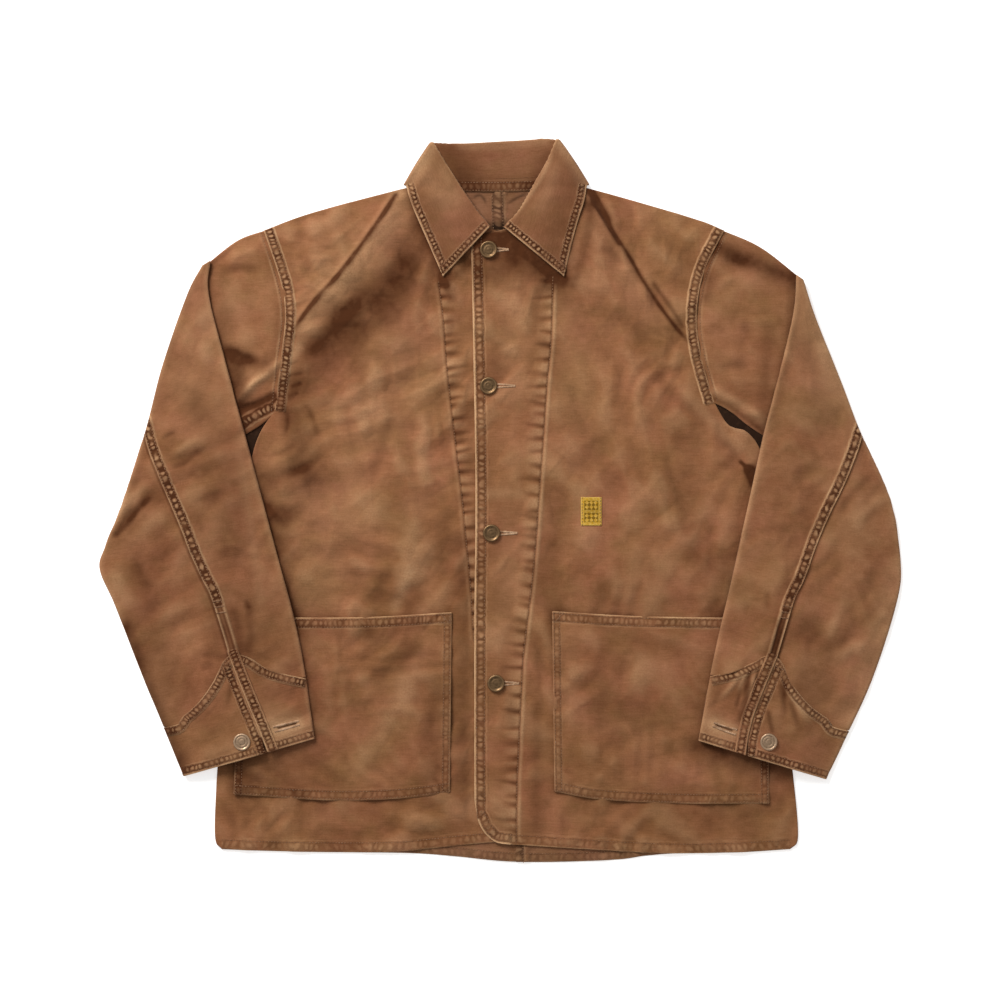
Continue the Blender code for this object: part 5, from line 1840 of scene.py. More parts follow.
# ---------------------------------------------------------------- body
@dataclass
class Backs:
    """The two back panels, which show inside the neck and at the hem."""

    cloth: Material
    sewing: Sewing
    seam_gap: float = SEAM_GAP
    lap_width: float = 8.0
    hem_lap_width: float = 3.2
    lap_rise: float = FELL_RISE

    def features(self, side: Side) -> list[Feature]:
        """Seams that show inside the neck and at the hem.

        Args:
            side: The side that it belongs to.

        Returns:
            The seams.
        """
        s = side.sign
        seams = [
            Ladder(BACK_HEM[side], -s, 0, 9.5, (9.0,), pitch=8.2, seed=37 + s, edge_wear=0.5, shade=0.3,
                   beads=0.25),
            Ladder(BACK_NECK[side], s, 0, 4.0, (), seed=41 + s, edge_wear=0.0, shade=0.3),
            Crease(BACK_ARCS[side], -0.3, 1.6, 1.6, shade=1.0),
        ]
        if side is LEFT:
            seams.append(Ladder(CENTRE_BACK, -1, -8.0, 6.0, (-6.0, 4.6), pitch=7.4, seed=31, edge_wear=0.0,
                                far_wear=0.3, lift=0.1, shade=0.5, beads=0.6))
        return seams

    def lap(self, y: Array) -> Array:
        """1 where the centre-back seam shows and its left side is folded over the right one."""
        return ease(284, 290, y) * (1 - ease(322, 330, y)) + 1 - ease(-367.5, -363.5, y)

    @staticmethod
    def paint_inside_shade(cloth: Relief) -> None:
        """Paints shade on what shows inside the neck and in the underarm gaps, but not at the hem.

        Args:
            cloth: The cloth.
        """
        # Painted shade inside the neck, strongest under the fronts' neck edge, and nearly black in the underarm
        # gaps.
        neck = 0.08 * ease(296, 334, cloth.y) + 0.5 * ease(302, 290, cloth.y) * (cloth.y > 200)
        underarm = (cloth.y > 0) & (cloth.y < 120)
        cloth.shade += 0.10 + neck + 1.2 * underarm - 0.1 * (cloth.y < 0)

    def build(self, side: Side) -> Object:
        """Makes one back panel.

        Args:
            side: The side that it belongs to.

        Returns:
            The panel.
        """
        s, edge, features = side.sign, BACK_SIDE[side], self.features(side)
        u = graded((0.6667, 34), (0.3333, 78))
        v = graded((0.035, 20), (0.865, 50), (0.1, 50))
        middle = Curve(CENTRE_BACK).at(v)
        lap = self.lap(middle[:, 1]) if side is LEFT else 0 * v
        width = np.where(middle[:, 1] > 0, self.lap_width, self.hem_lap_width)
        seam = middle + np.column_stack([s * self.seam_gap / 2 - width * lap, 0 * v])
        plan = coons_patch(u, v, Curve(BACK_HEM[side]).at(u),
                           two_stretches(SHOULDER[side], BACK_NECK[side], 1 / 3, u),
                           two_stretches(edge, edge[-1:] + ARMHOLE[side][1:], 1 / 3, v), seam)
        cloth = Relief(plan[..., 0], plan[..., 1]).take(features)
        cloth.height += crumple(cloth, 50 + s, 0.5)
        self.paint_inside_shade(cloth)
        seen = np.clip(ease(282, 294, cloth.y) + 1 - ease(-372, -366, cloth.y), 0, 1)
        over = 1 - ease(11, 17, np.abs(plan[..., 0] - seam[:, None, 0]))
        height = back_mid(cloth.y) + np.clip(cloth.height * seen, -0.25, 0.9)
        height = height + self.lap_rise * (over * lap[:, None]).ravel()
        item = lay(f"back_{side}_panel", f"back_{side}", "duck_inside", self.cloth,
                   cloth_grid(plan, height), plan, cloth)
        stitches = self.sewing.on(item, rows_of(features), "duck_inside")
        return item


@dataclass
class Front:
    """One front, with its facing's stitched line, armhole seam, hem and folds."""

    side: Side
    cloth: Material
    sewing: Sewing
    covers: Sequence[Region]

    @property
    def is_left(self) -> bool:
        """Whether this is the wearer's left front, which laps over the other."""
        return self.side is LEFT

    def seams(self) -> list[Feature]:
        """Stitched bands and lines.

        Returns:
            The seams.
        """
        s, side, left = self.side.sign, self.side, self.is_left
        seams = [
            Ladder(ARMHOLE[side], s, -2, 10.8, (1.9, 9.3), pitch=5.0, seed=3 + left, lift=FELL_RISE,
                   edge_wear=0.6, far_wear=0.7),
            Ladder(HEM[side], -s, 0, 10.5, (10.0,), pitch=8.2, seed=5 + left, edge_wear=0.7, shade=0.3,
                   beads=0.34),
        ]
        if not left:
            return seams + [Puckers(FACING_LINE[side], 1, 12.0, 24, 1.3, 11, ridge=0.25, shade=0.6)]
        edge = FRONT_CORNER[:-1] + EDGE[side]
        return seams + [
            Ladder(edge, -1, 1.8, 11.5, (2.6, 10.8), pitch=7.2, seed=9, edge_wear=1.0, lift=0.25, depth=0.5,
                   shade=0.4, beads=0.72),
            Puckers(FACING_LINE[side], -1, 12.5, 25, 1.3, 12, ridge=0.6, shade=0.58),
            Crease(edge, 0.3, 1.7, 1.7, Ends.NONE, wear=0.9),
        ]

    def surface(self, x: Array, y: Array) -> Relief:
        """The front's middle layer.

        Args:
            x: Plan coordinates.
            y: The others.

        Returns:
            Its relief, with the height measured from the floor.
        """
        cloth = Relief(x, y).take(FRONT_CREASES[self.side]).take(self.seams())
        cloth.height += crumple(cloth, 70 + self.side.sign, 1.3)
        sleeves, leaves, pockets = self.covers[:2], self.covers[2:4], self.covers[4:6]
        # Painted shade in the hollows, and painted shadow beside the sleeves, collar leaves and pockets that lie
        # on the front.
        cloth.shade_hollows_fade_tops().paint_shadow(sleeves, FRONT_SHADOW[self.side], SHADOW_REACH)
        cloth.paint_shadow(leaves, 0.6, 5.0).paint_shadow(pockets, 0.3, 3.5)
        open_cloth = uncovered(cloth, self.covers)
        air = AIR * ease(0, AIR_REACH, BODY_OUTLINE.depth(cloth.x, cloth.y, AIR_REACH))
        lap = 1 - ease(*LAP_DROP, cloth.x) if self.is_left else 0.0
        cloth.height = np.maximum(cloth.height * open_cloth, -air * (1 - lap) - 0.15)
        if not self.is_left:
            cloth.height = np.minimum(cloth.height, 0.1 + 4.0 * (1 - ease(*LAP_LID, cloth.x)))
        cloth.height += fronts_mid(cloth.x, cloth.y, lap)
        # The large folds' tops are paler, as wear and a painted highlight.
        cloth.wear += Relief(x, y).take(BODY_SWELLS).wear
        return cloth

    def plan(self) -> Array:
        """Plan grid of the panel, fine at its seams and its facing.

        Returns:
            Rows of plan points.
        """
        side = self.side
        v = graded((20, 14), (450, 272), (222, 160))
        if self.is_left:
            u = graded((20, 16), (196, 112), (92, 74))
            inner = two_stretches(FRONT_CORNER, EDGE[side], 1 - 2 / 21, v)
        else:
            u = graded((20, 16), (196, 118), (60, 48), (34, 6))
            inner = Curve(EDGE[side]).at(v)
        return coons_patch(u, v, Curve(HEM[side]).at(u), two_stretches(SHOULDER[side], NECK[side], 1 / 3, u),
                           two_stretches(SIDE_SEAM[side], ARMHOLE[side], 1 / 3, v), inner)

    def build(self) -> Object:
        """Makes the front with its stitches and buttonholes.

        Returns:
            The front.
        """
        plan = self.plan()
        cloth = self.surface(plan[..., 0], plan[..., 1])
        item = lay(f"front_{self.side}_panel", f"front_{self.side}", "duck", self.cloth,
                   cloth_grid(plan, cloth.height), plan, cloth)
        extras = self.sewing.on(item, rows_of(self.seams()), "duck")
        if self.is_left:
            purl = Sewing(self.sewing.purl, Thread(0.75, 0.9, 2.5, 1.0))
            holes = [row for place, length in zip(FRONT_BUTTONS, HOLE_LENGTHS)
                     for row in Buttonhole(place, length, 3.2).rows()]
            extras += purl.on(item, holes, "duck", "buttonholes", 0.3)
        return item


@dataclass(frozen=True)
class Buttonhole:
    """A buttonhole's outline: it starts at the button and narrows away from it."""

    start: Point
    length: float
    width: float
    turn: float = 0.0
    far_width: float = 0.0
    purl_out: float = 0.35

    def end(self, share: float = 1.0) -> Point:
        """The slit's point at a share of its length."""
        return (self.start[0] + share * self.length * math.cos(self.turn),
                self.start[1] + share * self.length * math.sin(self.turn))

    def rows(self) -> list[Array]:
        """Plan points of the purl on each side of the slit.

        Returns:
            Two rows of points.
        """
        along = np.linspace(0, self.length, 12)
        taper = (along / self.length) ** 1.6
        half = self.width / 2 * (1 - taper) + self.far_width * self.width / 2 * taper + self.purl_out
        c, s = math.cos(self.turn), math.sin(self.turn)
        rows = []
        for sign in (1, -1):
            x, y = along, sign * half
            rows.append(np.column_stack([self.start[0] + c * x - s * y, self.start[1] + s * x + c * y]))
        return rows


@dataclass
class Pocket:
    """A patch pocket sewn to a front along its sides and bottom."""

    side: Side
    cloth: Material
    sewing: Sewing
    air: float = 1.3
    air_reach: float = 26.0

    def __post_init__(self) -> None:
        """Reads the edges."""
        self.top, self.bottom = POCKET_TOP[self.side], POCKET_BOTTOM[self.side]
        self.outer, self.inner = (self.bottom[0], self.top[0]), (self.bottom[-1], self.top[-1])

    @property
    def outline(self) -> Region:
        """The pocket's plan outline."""
        return Region(self.bottom, self.inner, self.top[::-1], self.outer[::-1])

    def seams(self) -> list[Feature]:
        """Stitched bands on the four edges.

        Returns:
            The seams.
        """
        s = self.side.sign
        return [
            Ladder(self.top, s, 1.0, 11.0, (2.2, 10.2), pitch=5.8, seed=21 + s, edge_wear=1.1, far_wear=0.4,
                   shade=0.4, beads=0.5),
            Ladder(self.bottom, -s, 0.8, 11.0, (1.8, 9.6), pitch=7.2, seed=23 + s, edge_wear=0.5, shade=0.6,
                   beads=0.3),
        ] + [
            Ladder(edge, turn, 0.8, 8.8, (1.8, 7.8), pitch=7.2, seed=seed + s, edge_wear=0.4, shade=0.6,
                   beads=0.34)
            for edge, turn, seed in ((self.inner, -s, 25), (self.outer, s, 27))
        ]

    def tacks(self) -> list[Array]:
        """The small stitched triangle at the pocket's open inner corner.

        Returns:
            One row of points.
        """
        x, y = self.top[-1]
        s = self.side.sign
        corners = [(x + s * out, y - down) for out, down in ((1.5, 1.5), (12.5, 1.8), (2.0, 12.0), (1.5, 1.5))]
        return [Curve(corners, smooth=False).offset(0, 1.0)]

    def build(self) -> Object:
        """Makes the pocket with its stitches.

        Returns:
            The pocket.
        """
        u = graded((14, 12), (208, 116), (14, 12))
        v = graded((16, 14), (160, 92), (16, 14))
        plan = coons_patch(u, v, Curve(self.bottom).at(u), Curve(self.top).at(u), Curve(self.outer).at(v),
                           Curve(self.inner).at(v))
        seams = self.seams()
        cloth = Relief(plan[..., 0], plan[..., 1]).take(POCKET_CREASES[self.side]).take(seams)
        cloth.height += crumple(cloth, 90 + self.side.sign, 1.1)
        # Painted shade in the hollows, and painted shadow beside the sleeves.
        cloth.shade_hollows_fade_tops().paint_shadow(SLEEVE_OUTLINES, POCKET_SHADOW[self.side], SHADOW_REACH)
        air = self.air * ease(0, self.air_reach, self.outline.depth(cloth.x, cloth.y, self.air_reach))
        cloth.height = np.maximum(cloth.height * uncovered(cloth, SLEEVE_OUTLINES), -air - 0.05) + air
        cloth.height += fronts_mid(cloth.x, cloth.y, on_lap(cloth.x)) + STEP
        item = lay(f"pocket_{self.side}_patch", f"pocket_{self.side}", "duck_pocket", self.cloth,
                   cloth_grid(plan, cloth.height), plan, cloth)
        extras = self.sewing.on(item, rows_of(seams), "duck_pocket")
        tack = Sewing(self.sewing.thread, Thread(1.1, 1.3, 0.9, 0.5))
        extras += tack.on(item, self.tacks(), "duck_pocket", "tack")
        return item


# ---------------------------------------------------------------- sleeves
@dataclass
class Sleeve:
    """One folded-down sleeve: its head in the armhole, top and under sleeve, cuff and vent strip."""

    side: Side
    cloth: Material
    sewing: Sewing
    air: float = 3.0
    air_reach: float = 55.0
    head_air: float = 2.4
    seam_shift: float = 6.2
    band: float = 11.0
    tuck: float = 2.8
    weave_width: float = 150.0
    panel_rows: int = 270

    def __post_init__(self) -> None:
        """Reads the edges."""
        side, s = self.side, self.side.sign
        self.outer_line, self.inner_line = Curve(SLEEVE_OUTER[side]), Curve(SLEEVE_INNER[side])
        if side is RIGHT:
            self.hole = Buttonhole((-239.5, -241.5), 27, 4.6, 0.25, 0.75)
        else:
            self.hole = Buttonhole((248, -244.5), 25, 4.6, math.pi - 0.33, 0.6)
        self.length = self.outer_line.length
        self.heights, self.vent = smooth_line(CUFF_HEIGHT[side]), np.array(VENT_EDGE[side])
        self.seams_in_plan = smooth_line(BACK_SEAM[side])
        edges = np.asarray(UNDERLAY[side], float)
        self.underlay_y, self.underlay_x = edges[:, 1], np.abs(edges[:, 0])
        self.armhole = tuple((x - s * HEAD_SEAM_GAP, y) for x, y in ARMHOLE[side])
        self.head_outline = Region(HEAD_BOTTOM[side][::-1], self.armhole, HEAD_TOP[side], HEAD_OUTER[side][::-1])

    def width(self, v: Array | float) -> Array:
        """Distance between the edges at the shares v of the sleeve's length."""
        return np.linalg.norm(self.outer_line.at(v) - self.inner_line.at(v), axis=1)

    def seam_place(self, v: Array | float, most: float = 1.0) -> Array:
        """Where the back seam crosses the section at v, and how far out it may go.

        Args:
            v: Shares of the sleeve's length.
            most: How far out it may go.

        Returns:
            Places round the section.
        """
        v = np.atleast_1d(v)
        place = np.interp(v, self.seams_in_plan[:, 0], self.seams_in_plan[:, 1])
        return np.minimum(place + self.seam_shift / np.maximum(self.width(v), 20), most)

    def readings(self, shares: Array) -> Array:
        """Where the back seam lies along the sleeve for each share of a panel's rows.

        Args:
            shares: Shares of the panel's length.

        Returns:
            Shares of the sleeve's length.
        """
        reading = shares * self.cuff_start(np.array([0.7]))[0]
        for _ in range(4):
            reading = shares * self.cuff_start(self.seam_place(reading))
        return reading

    def vent_place(self, v: Array | float) -> Array | float:
        """Where the vent's stitched edge crosses the section at v."""
        return np.interp(v, self.vent[:, 0], self.vent[:, 1])

    def cuff_start(self, place: Array) -> Array:
        """Share of the length at which the cuff begins."""
        return 1 - np.interp(np.mod(place, 2), self.heights[:, 0], self.heights[:, 1]) / self.length

    def plan(self, v: Array, place: Array) -> tuple[Array, Array, Array, Array]:
        """Plan of points on the sleeve.

        Args:
            v: Shares of the sleeve's length.
            place: Places round the section.

        Returns:
            x, y, the distance from the nearer edge, and 1 on the upper layer or -1 on the lower.
        """
        shape = np.shape(v)
        v, turn = np.ravel(v), np.mod(np.ravel(place), 2)
        across = np.where(turn <= 1, turn, 2 - turn)
        outer, inner = self.outer_line.at(v), self.inner_line.at(v)
        plan = inner + (outer - inner) * across[:, None]
        reach = np.minimum(across, 1 - across) * np.linalg.norm(outer - inner, axis=1)
        layer = np.where(turn <= 1, 1, -1)
        return tuple(part.reshape(shape) for part in (plan[:, 0], plan[:, 1], reach, layer))

    def head_lift(self, x: Array, y: Array) -> Array:
        """How far the sleeve head swells off the back layer.

        Args:
            x: Plan coordinates.
            y: The others.

        Returns:
            Heights in mm.
        """
        flat = np.ravel(x), np.ravel(y)
        depth = self.head_outline.depth(*flat, 16)
        cloth = Relief(*flat).take([c for c in HEAD_CREASES[self.side] if isinstance(c, Crease) and c.height > 0])
        lift = self.head_air * ease(0, 16, depth) + np.maximum(cloth.height, 0) * ease(0, 8, depth)
        return lift.reshape(np.shape(x))

    def under_mid(self, x: Array, y: Array) -> Array:
        """The lower layer: on the body and the head, then down to the surface beside them.

        Args:
            x: Plan coordinates.
            y: The others.

        Returns:
            Heights in mm.
        """
        edge = np.interp(y, self.underlay_y, self.underlay_x)
        down = ease(DRAPE_FROM, DRAPE_FROM + DRAPE_OVER, np.abs(x) - edge)
        lift = np.maximum(body_lift(x, y), self.head_lift(x, y))
        on_body = back_mid(y) + 2 * STEP + SLEEVE_CLEAR + lift + self.pocket_lift(x, y)
        return on_body * (1 - down) + FLOOR_MID * down

    @staticmethod
    def pocket_lift(x: Array, y: Array) -> Array:
        """What a sleeve adds to clear the pocket below it.

        Args:
            x: Plan coordinates.
            y: The others.

        Returns:
            Heights in mm.
        """
        (low, high), (near, far) = POCKET_SPAN_Y, POCKET_SPAN_X
        out = POCKET_MARGIN + POCKET_OVER
        inside = ease(low - out, low - POCKET_MARGIN, y) * (1 - ease(high + POCKET_MARGIN, high + out, y))
        reach = np.abs(x)
        inside = inside * ease(near - out, near - POCKET_MARGIN, reach)
        return (STEP + FELL_RISE) * inside * (1 - ease(far + POCKET_MARGIN, far + out, reach))

    def surface(self, v: Array, place: Array, features: Sequence[Feature], seed: int, force: float = 1.0,
                above: float = 0.0) -> tuple[Array, Relief]:
        """Middle-layer points of the sleeve.

        Args:
            v: Shares of the sleeve's length, as a grid.
            place: Places round the section, likewise.
            features: Seams of this panel; the sleeve's own creases are added.
            seed: Choice of small unevenness.
            force: How strong that is.
            above: Height above the sleeve's own surface.

        Returns:
            The points in mm and their relief.
        """
        x, y, reach, layer = self.plan(v, place)
        lift = np.sqrt(1 - (1 - np.clip(reach / EDGE_ROUND, 0, 1)) ** 2)
        cloth = Relief(x, y).take(SLEEVE_CREASES[self.side]).take(features)
        cloth.height += crumple(cloth, seed, force)
        # Painted shade in the hollows; the tops fade.
        cloth.shade_hollows_fade_tops()
        cloth.wear += 0.22 * np.exp(-((reach.ravel() / 4.0) ** 2))
        upper = (layer > 0).ravel()
        cloth.shade, cloth.wear, cloth.seam = cloth.shade * upper, cloth.wear * upper, cloth.seam * upper[:, None]
        fine = np.maximum(cloth.height.reshape(x.shape), -1.5)
        swell = self.air * ease(0, self.air_reach, reach) + fine
        middle = self.under_mid(x, y) + SLEEVE_HALF
        z = middle + layer * SLEEVE_HALF * lift + np.where(layer > 0, swell * lift + above, 0)
        return np.dstack([x, y, z]), cloth

    def path(self, v: Array, place: Array, count: int = 14) -> tuple[Point, ...]:
        """Plan points of a line on the sleeve, evenly picked.

        Args:
            v: Shares of the sleeve's length.
            place: Places round the section.
            count: Number of points.

        Returns:
            The points.
        """
        x, y, _, _ = self.plan(v, place)
        pick = np.linspace(0, len(x) - 1, count).round().astype(int)
        return tuple((float(x[k]), float(y[k])) for k in pick)

    def seam_path(self, start: float, stop: float, aside: float = 0.0) -> tuple[Point, ...]:
        """Plan points of the back seam from one share of the length to another.

        Args:
            start: Share at which it begins. The seam may lie past the outer edge there.
            stop: Share at which it ends.
            aside: Distance of the line from the seam, towards the inner edge.

        Returns:
            The points.
        """
        v = np.linspace(start, stop, 14)
        outer, inner = self.outer_line.at(v), self.inner_line.at(v)
        place = self.seam_place(v, 2.0) - aside / self.width(v)
        return tuple((float(x), float(y)) for x, y in inner + (outer - inner) * place[:, None])

    def cuff_paths(self) -> tuple[tuple[Point, ...], tuple[Point, ...]]:
        """The cuff's curved seam on the two sides of the vent.

        Returns:
            Points of the seam inside the vent, and outside it.
        """
        vent = float(self.vent_place(0.79))
        inside, outside = np.linspace(vent - 0.04, 0.0, 40), np.linspace(vent, 1.0, 40)
        return tuple(self.path(self.cuff_start(place), place, 12) for place in (inside, outside))

    def panel(self, kind: str, places_of: Callable[..., Array], features: Sequence[Feature], seed: int,
              up: float) -> Object:
        """Makes one sleeve panel.

        Args:
            kind: What it is.
            places_of: Places round the section for a seam place, a width and a tuck.
            features: Its seams.
            seed: Choice of small unevenness.
            up: Share of the columns at which the panel faces up.

        Returns:
            The piece.
        """
        shares = np.linspace(0, 1, self.panel_rows + 1)
        reading = self.readings(shares)
        places = np.array([places_of(float(self.seam_place(v)[0]), float(self.width(v)[0]), self.tuck * tucked)
                           for v, tucked in zip(reading, ease(0.33, 0.38, reading))])
        upper = ease(0, 0.06, places) * (1 - ease(0.94, 1, places))
        v = shares[:, None] * (self.cuff_start(places) + (self.tuck * upper - SEAM_GAP) / self.length)
        grid, cloth = self.surface(v, places, features, seed)
        up_at = (v.shape[0] // 2, int(v.shape[1] * up))
        return lay(f"{kind}_{self.side}_panel", f"{kind}_{self.side}", "duck_sleeve", self.cloth, grid,
                   self.weave(v, places), cloth, up_at)

    def weave(self, v: Array, place: Array) -> Array:
        """Coordinates along and across the threads of points on the sleeve."""
        return np.dstack([place * self.weave_width, v * self.length])

    def top_places(self, seam: float, width: float, _: float = 0.0, count: int = 62) -> Array:
        """Places of the top sleeve: from the underarm seam round the inner edge to the back seam.

        Args:
            seam: Place of the back seam.
            width: The sleeve's width.
            _: Not used.
            count: Number of columns.

        Returns:
            The places.
        """
        gap, far = SEAM_GAP / 2 / width, min(EDGE_ROUND / width, 0.11)
        turn = np.linspace(UNDERARM_SEAM - 2 + gap, -far, 3)
        return np.concatenate([turn[:-1], crowded(-far, seam - gap, count)])

    def under_places(self, seam: float, width: float, tuck: float = 0.0, count: int = 52) -> Array:
        """Places of the under sleeve: from under the back seam round the outer edge to the underarm seam.

        Args:
            seam: Place of the back seam.
            width: The sleeve's width.
            tuck: How far it goes under the top sleeve.
            count: Number of columns.

        Returns:
            The places.
        """
        gap, far = SEAM_GAP / 2 / width, min(EDGE_ROUND / width, 0.11)
        turn = max(1 + far, seam + 2 * far)
        start = seam + gap - tuck / width
        return np.concatenate([crowded(start, turn, count), np.linspace(turn, UNDERARM_SEAM - gap, 6)[1:]])

    def build_head(self) -> Object:
        """Makes the part that is set into the armhole and folded at the shoulder.

        Returns:
            The sleeve head.
        """
        u, v = graded((46, 34), (16, 14)), graded((200, 140))
        s, side, top = self.side.sign, self.side, Curve(HEAD_TOP[self.side][::-1]).at(u)
        plan = coons_patch(u, v, Curve(HEAD_BOTTOM[side][::-1]).at(u), top, Curve(HEAD_OUTER[side]).at(v),
                           Curve(self.armhole).at(v))
        shape = plan.shape[:2]
        band = Ladder(self.armhole, -s, 3.6, 8.0, (6.6,), pitch=5.9, seed=61 + s, depth=0.18, edge_wear=0.0,
                      far_wear=0.5, shade=0.4, beads=0.0)
        features = [band] + ([UNDERARM_BAND] if side is RIGHT else [])
        cloth = Relief(plan[..., 0], plan[..., 1]).take(HEAD_CREASES[side]).take(features)
        cloth.height = np.minimum(cloth.height, 0) + crumple(cloth, 64 + s, 0.7)
        # Painted shade in the hollows, and painted shadow beside the sleeves.
        cloth.shade_hollows_fade_tops().paint_shadow(SLEEVE_OUTLINES, HEAD_SHADOW[side])
        lift = self.head_lift(plan[..., 0], plan[..., 1])
        fine = np.maximum(cloth.height * uncovered(cloth, SLEEVE_OUTLINES), -0.9 * lift.ravel() - 0.1)
        front = cloth_grid(plan, back_mid(cloth.y) + STEP + lift.ravel() + fine)
        back_rows = np.arange(0, shape[0], 12)[::-1]
        below = HEAD_BACK_BOTTOM[side]
        armhole = below[:1] + tuple((x + s * HEAD_BACK_OVERLAP, y) for x, y in ARMHOLE[side][1:])
        flat = coons_patch(u, v, Curve(below[::-1]).at(u), top, Curve(HEAD_BACK_OUTER[side]).at(v),
                           Curve(armhole).at(v))
        back = np.dstack([flat, back_mid(flat[..., 1])])[back_rows]
        fold = (front[-1:] + back[:1]) / 2
        fold[..., :2] = front[-1:, :, :2] + np.array((0.25 * s, 0.9))
        grid = np.concatenate([front, fold, back])
        hidden = 1 + len(back_rows)
        marks = {key: np.concatenate([values, np.zeros((hidden, *values.shape[1:]))])
                 for key, values in cloth.marks(shape).items()}
        item = Wall(f"sleeve_head_{self.side}_cap", grid, grid[..., :2], (10, 10), **marks).build(self.cloth)
        seat(item, "duck_sleeve", f"sleeve_head_{self.side}")
        extras = self.sewing.on(item, band.stitch_rows(), "duck_sleeve")
        return item

    def build_panels(self) -> None:
        """Makes the top sleeve and the under sleeve, with the felled back seam between them."""
        s = self.side.sign
        whole, path = self.seam_path(SEAM_TOP, VENT_END), self.seam_path(SEAM_TOP, SEAM_TACK)
        band = Ladder(path, -s, -2, self.band, (1.9, self.band - 1.9), pitch=8.0, seed=71 + s, lift=0, depth=0.4,
                      edge_wear=0.9, far_wear=0.7, beads=1.1)
        felled = Ladder(whole, -s, -2, self.band, (), lift=1.3, depth=0, edge_wear=0, shade=0.1)
        pleats = [Crease(self.seam_path(SEAM_TACK, VENT_END, off), 0.5, 1.1, 1.1, Ends.NONE, wear=0.75)
                  for off in (0.8, 9.8)]
        # Painted shade in the vent's pleats.
        pleats += [Crease(self.seam_path(SEAM_TACK, VENT_END, off), -0.6, 1.7, 1.7, Ends.NONE, shade=0.75)
                   for off in (3.2, 7.2)]
        # Painted shadow on the under sleeve along the back seam, where the top sleeve laps over it.
        beside = Ladder(whole, s, 0, 2.4, (), lift=0, depth=0, edge_wear=0.0, shade=1.6)
        top = self.panel("top_sleeve", self.top_places, [band, felled, *pleats], 75 + s, 0.5)
        under = self.panel("under_sleeve", self.under_places, [beside], 75 + s, 0.4)
        extras = self.sewing.on(top, band.stitch_rows(), "duck_sleeve")
        ends = [np.array([self.seam_path(at, at + 0.001, off)[0] for off in np.linspace(0.6, 10, 8)])
                for at in (SEAM_TACK - 0.012, SEAM_TACK, SEAM_TACK + 0.012)]
        extras += Sewing(self.sewing.thread, Thread(0.9, 1.0, 2.2, 0.8)).on(top, ends, "duck_sleeve", "tack")

    def build_cuff(self) -> None:
        """Makes the cuff with its vent strip, buttonhole and stitches."""
        s = self.side.sign
        shares = graded((12, 12), (70, 50), (12, 12))
        rows_v, rows_q = [], []
        for share in shares:
            at = 1 - 0.2 * (1 - share)
            vent, width = float(self.vent_place(at)), float(self.width(at)[0])
            outside = self.under_places(vent + (6.5 * float(ease(0.72, 1, share)) - 4) / width, width, count=62)
            inside = self.top_places(vent - 5.5 / width, width, count=54) + 2
            place = np.concatenate([outside[:-1], [UNDERARM_SEAM], inside[1:]])
            start = self.cuff_start(place) + SEAM_GAP / self.length
            rows_q.append(place)
            rows_v.append(start + (1 - start) * share)
        v, place = np.array(rows_v), np.array(rows_q)
        hem = self.path(np.ones(30), np.linspace(0.0, 1.0, 30), 10)
        vent_v = np.linspace(0.81, 1.0, 20)
        vent_path = self.path(vent_v, self.vent_place(vent_v) + 1.0 / self.width(vent_v), 8)
        slit = (self.hole.end(0.08), self.hole.end(0.5), self.hole.end(0.95))
        bands = [
            # Painted shade in the buttonhole's slit, and the cloth round it paler.
            Crease(slit, -0.7, 1.3, 1.3, shade=1.4, over=0.12),
            Patch(slit, 15, wear=0.5),
            *(Ladder(path, turn, -2, 9.5, (1.7, 8.2), pitch=5.0, seed=seed + s, lift=1.3, edge_wear=0.6,
                     far_wear=0.3, beads=0.85)
              for path, turn, seed in zip(self.cuff_paths(), (s, -s), (81, 83))),
            Ladder(hem, s, 0.3, 9.5, (2.4, 8.6), pitch=5.2, seed=85 + s, edge_wear=1.4, beads=0.8),
            Ladder(vent_path, s, 0.0, 9.0, (1.6, 8.0), pitch=5.2, seed=87 + s, edge_wear=0.2, shade=0.5),
        ]
        grid, cloth = self.surface(v, place, bands, 89 + s, 0.8)
        item = lay(f"cuff_{self.side}_band", f"cuff_{self.side}", "duck_sleeve", self.cloth, grid,
                   self.weave(v, place), cloth, (v.shape[0] // 2, 20))
        purl = Sewing(self.sewing.purl, Thread(0.8, 0.95, 3.3, 1.2))
        extras = self.sewing.on(item, rows_of(bands), "duck_sleeve")
        extras += purl.on(item, self.hole.rows(), "duck_sleeve", "buttonhole", 0.15)
        self.build_strip()

    def build_strip(self) -> None:
        """Makes the stitched strip on the vent's inner edge."""
        s = self.side.sign
        along = STRIP_TOP + (1 - STRIP_TOP) * graded((108, 84))
        stop = self.vent_place(along)[:, None]
        place = stop - PLACKET_WIDTH / self.width(along)[:, None] * np.linspace(1, 0, 16)
        v = np.repeat(along[:, None], 16, axis=1)
        edge = self.path(v[:, -1], place[:, -1], 10)
        band = Ladder(edge, -s, 0.8, PLACKET_WIDTH - 1.5, (2.6, PLACKET_WIDTH - 2.6), pitch=5.2, seed=91 + s,
                      edge_wear=1.2, far_wear=0.3)
        grid, cloth = self.surface(v, place, [band], 89 + s, 0.6, STEP + 0.15)
        item = lay(f"vent_strip_{self.side}", f"vent_placket_{self.side}", "duck_sleeve", self.cloth,
                   grid, self.weave(v, place), cloth)
        extras = self.sewing.on(item, band.stitch_rows(), "duck_sleeve")

    def build(self) -> None:
        """Makes the whole sleeve."""
        self.build_head()
        self.build_panels()
        self.build_cuff()


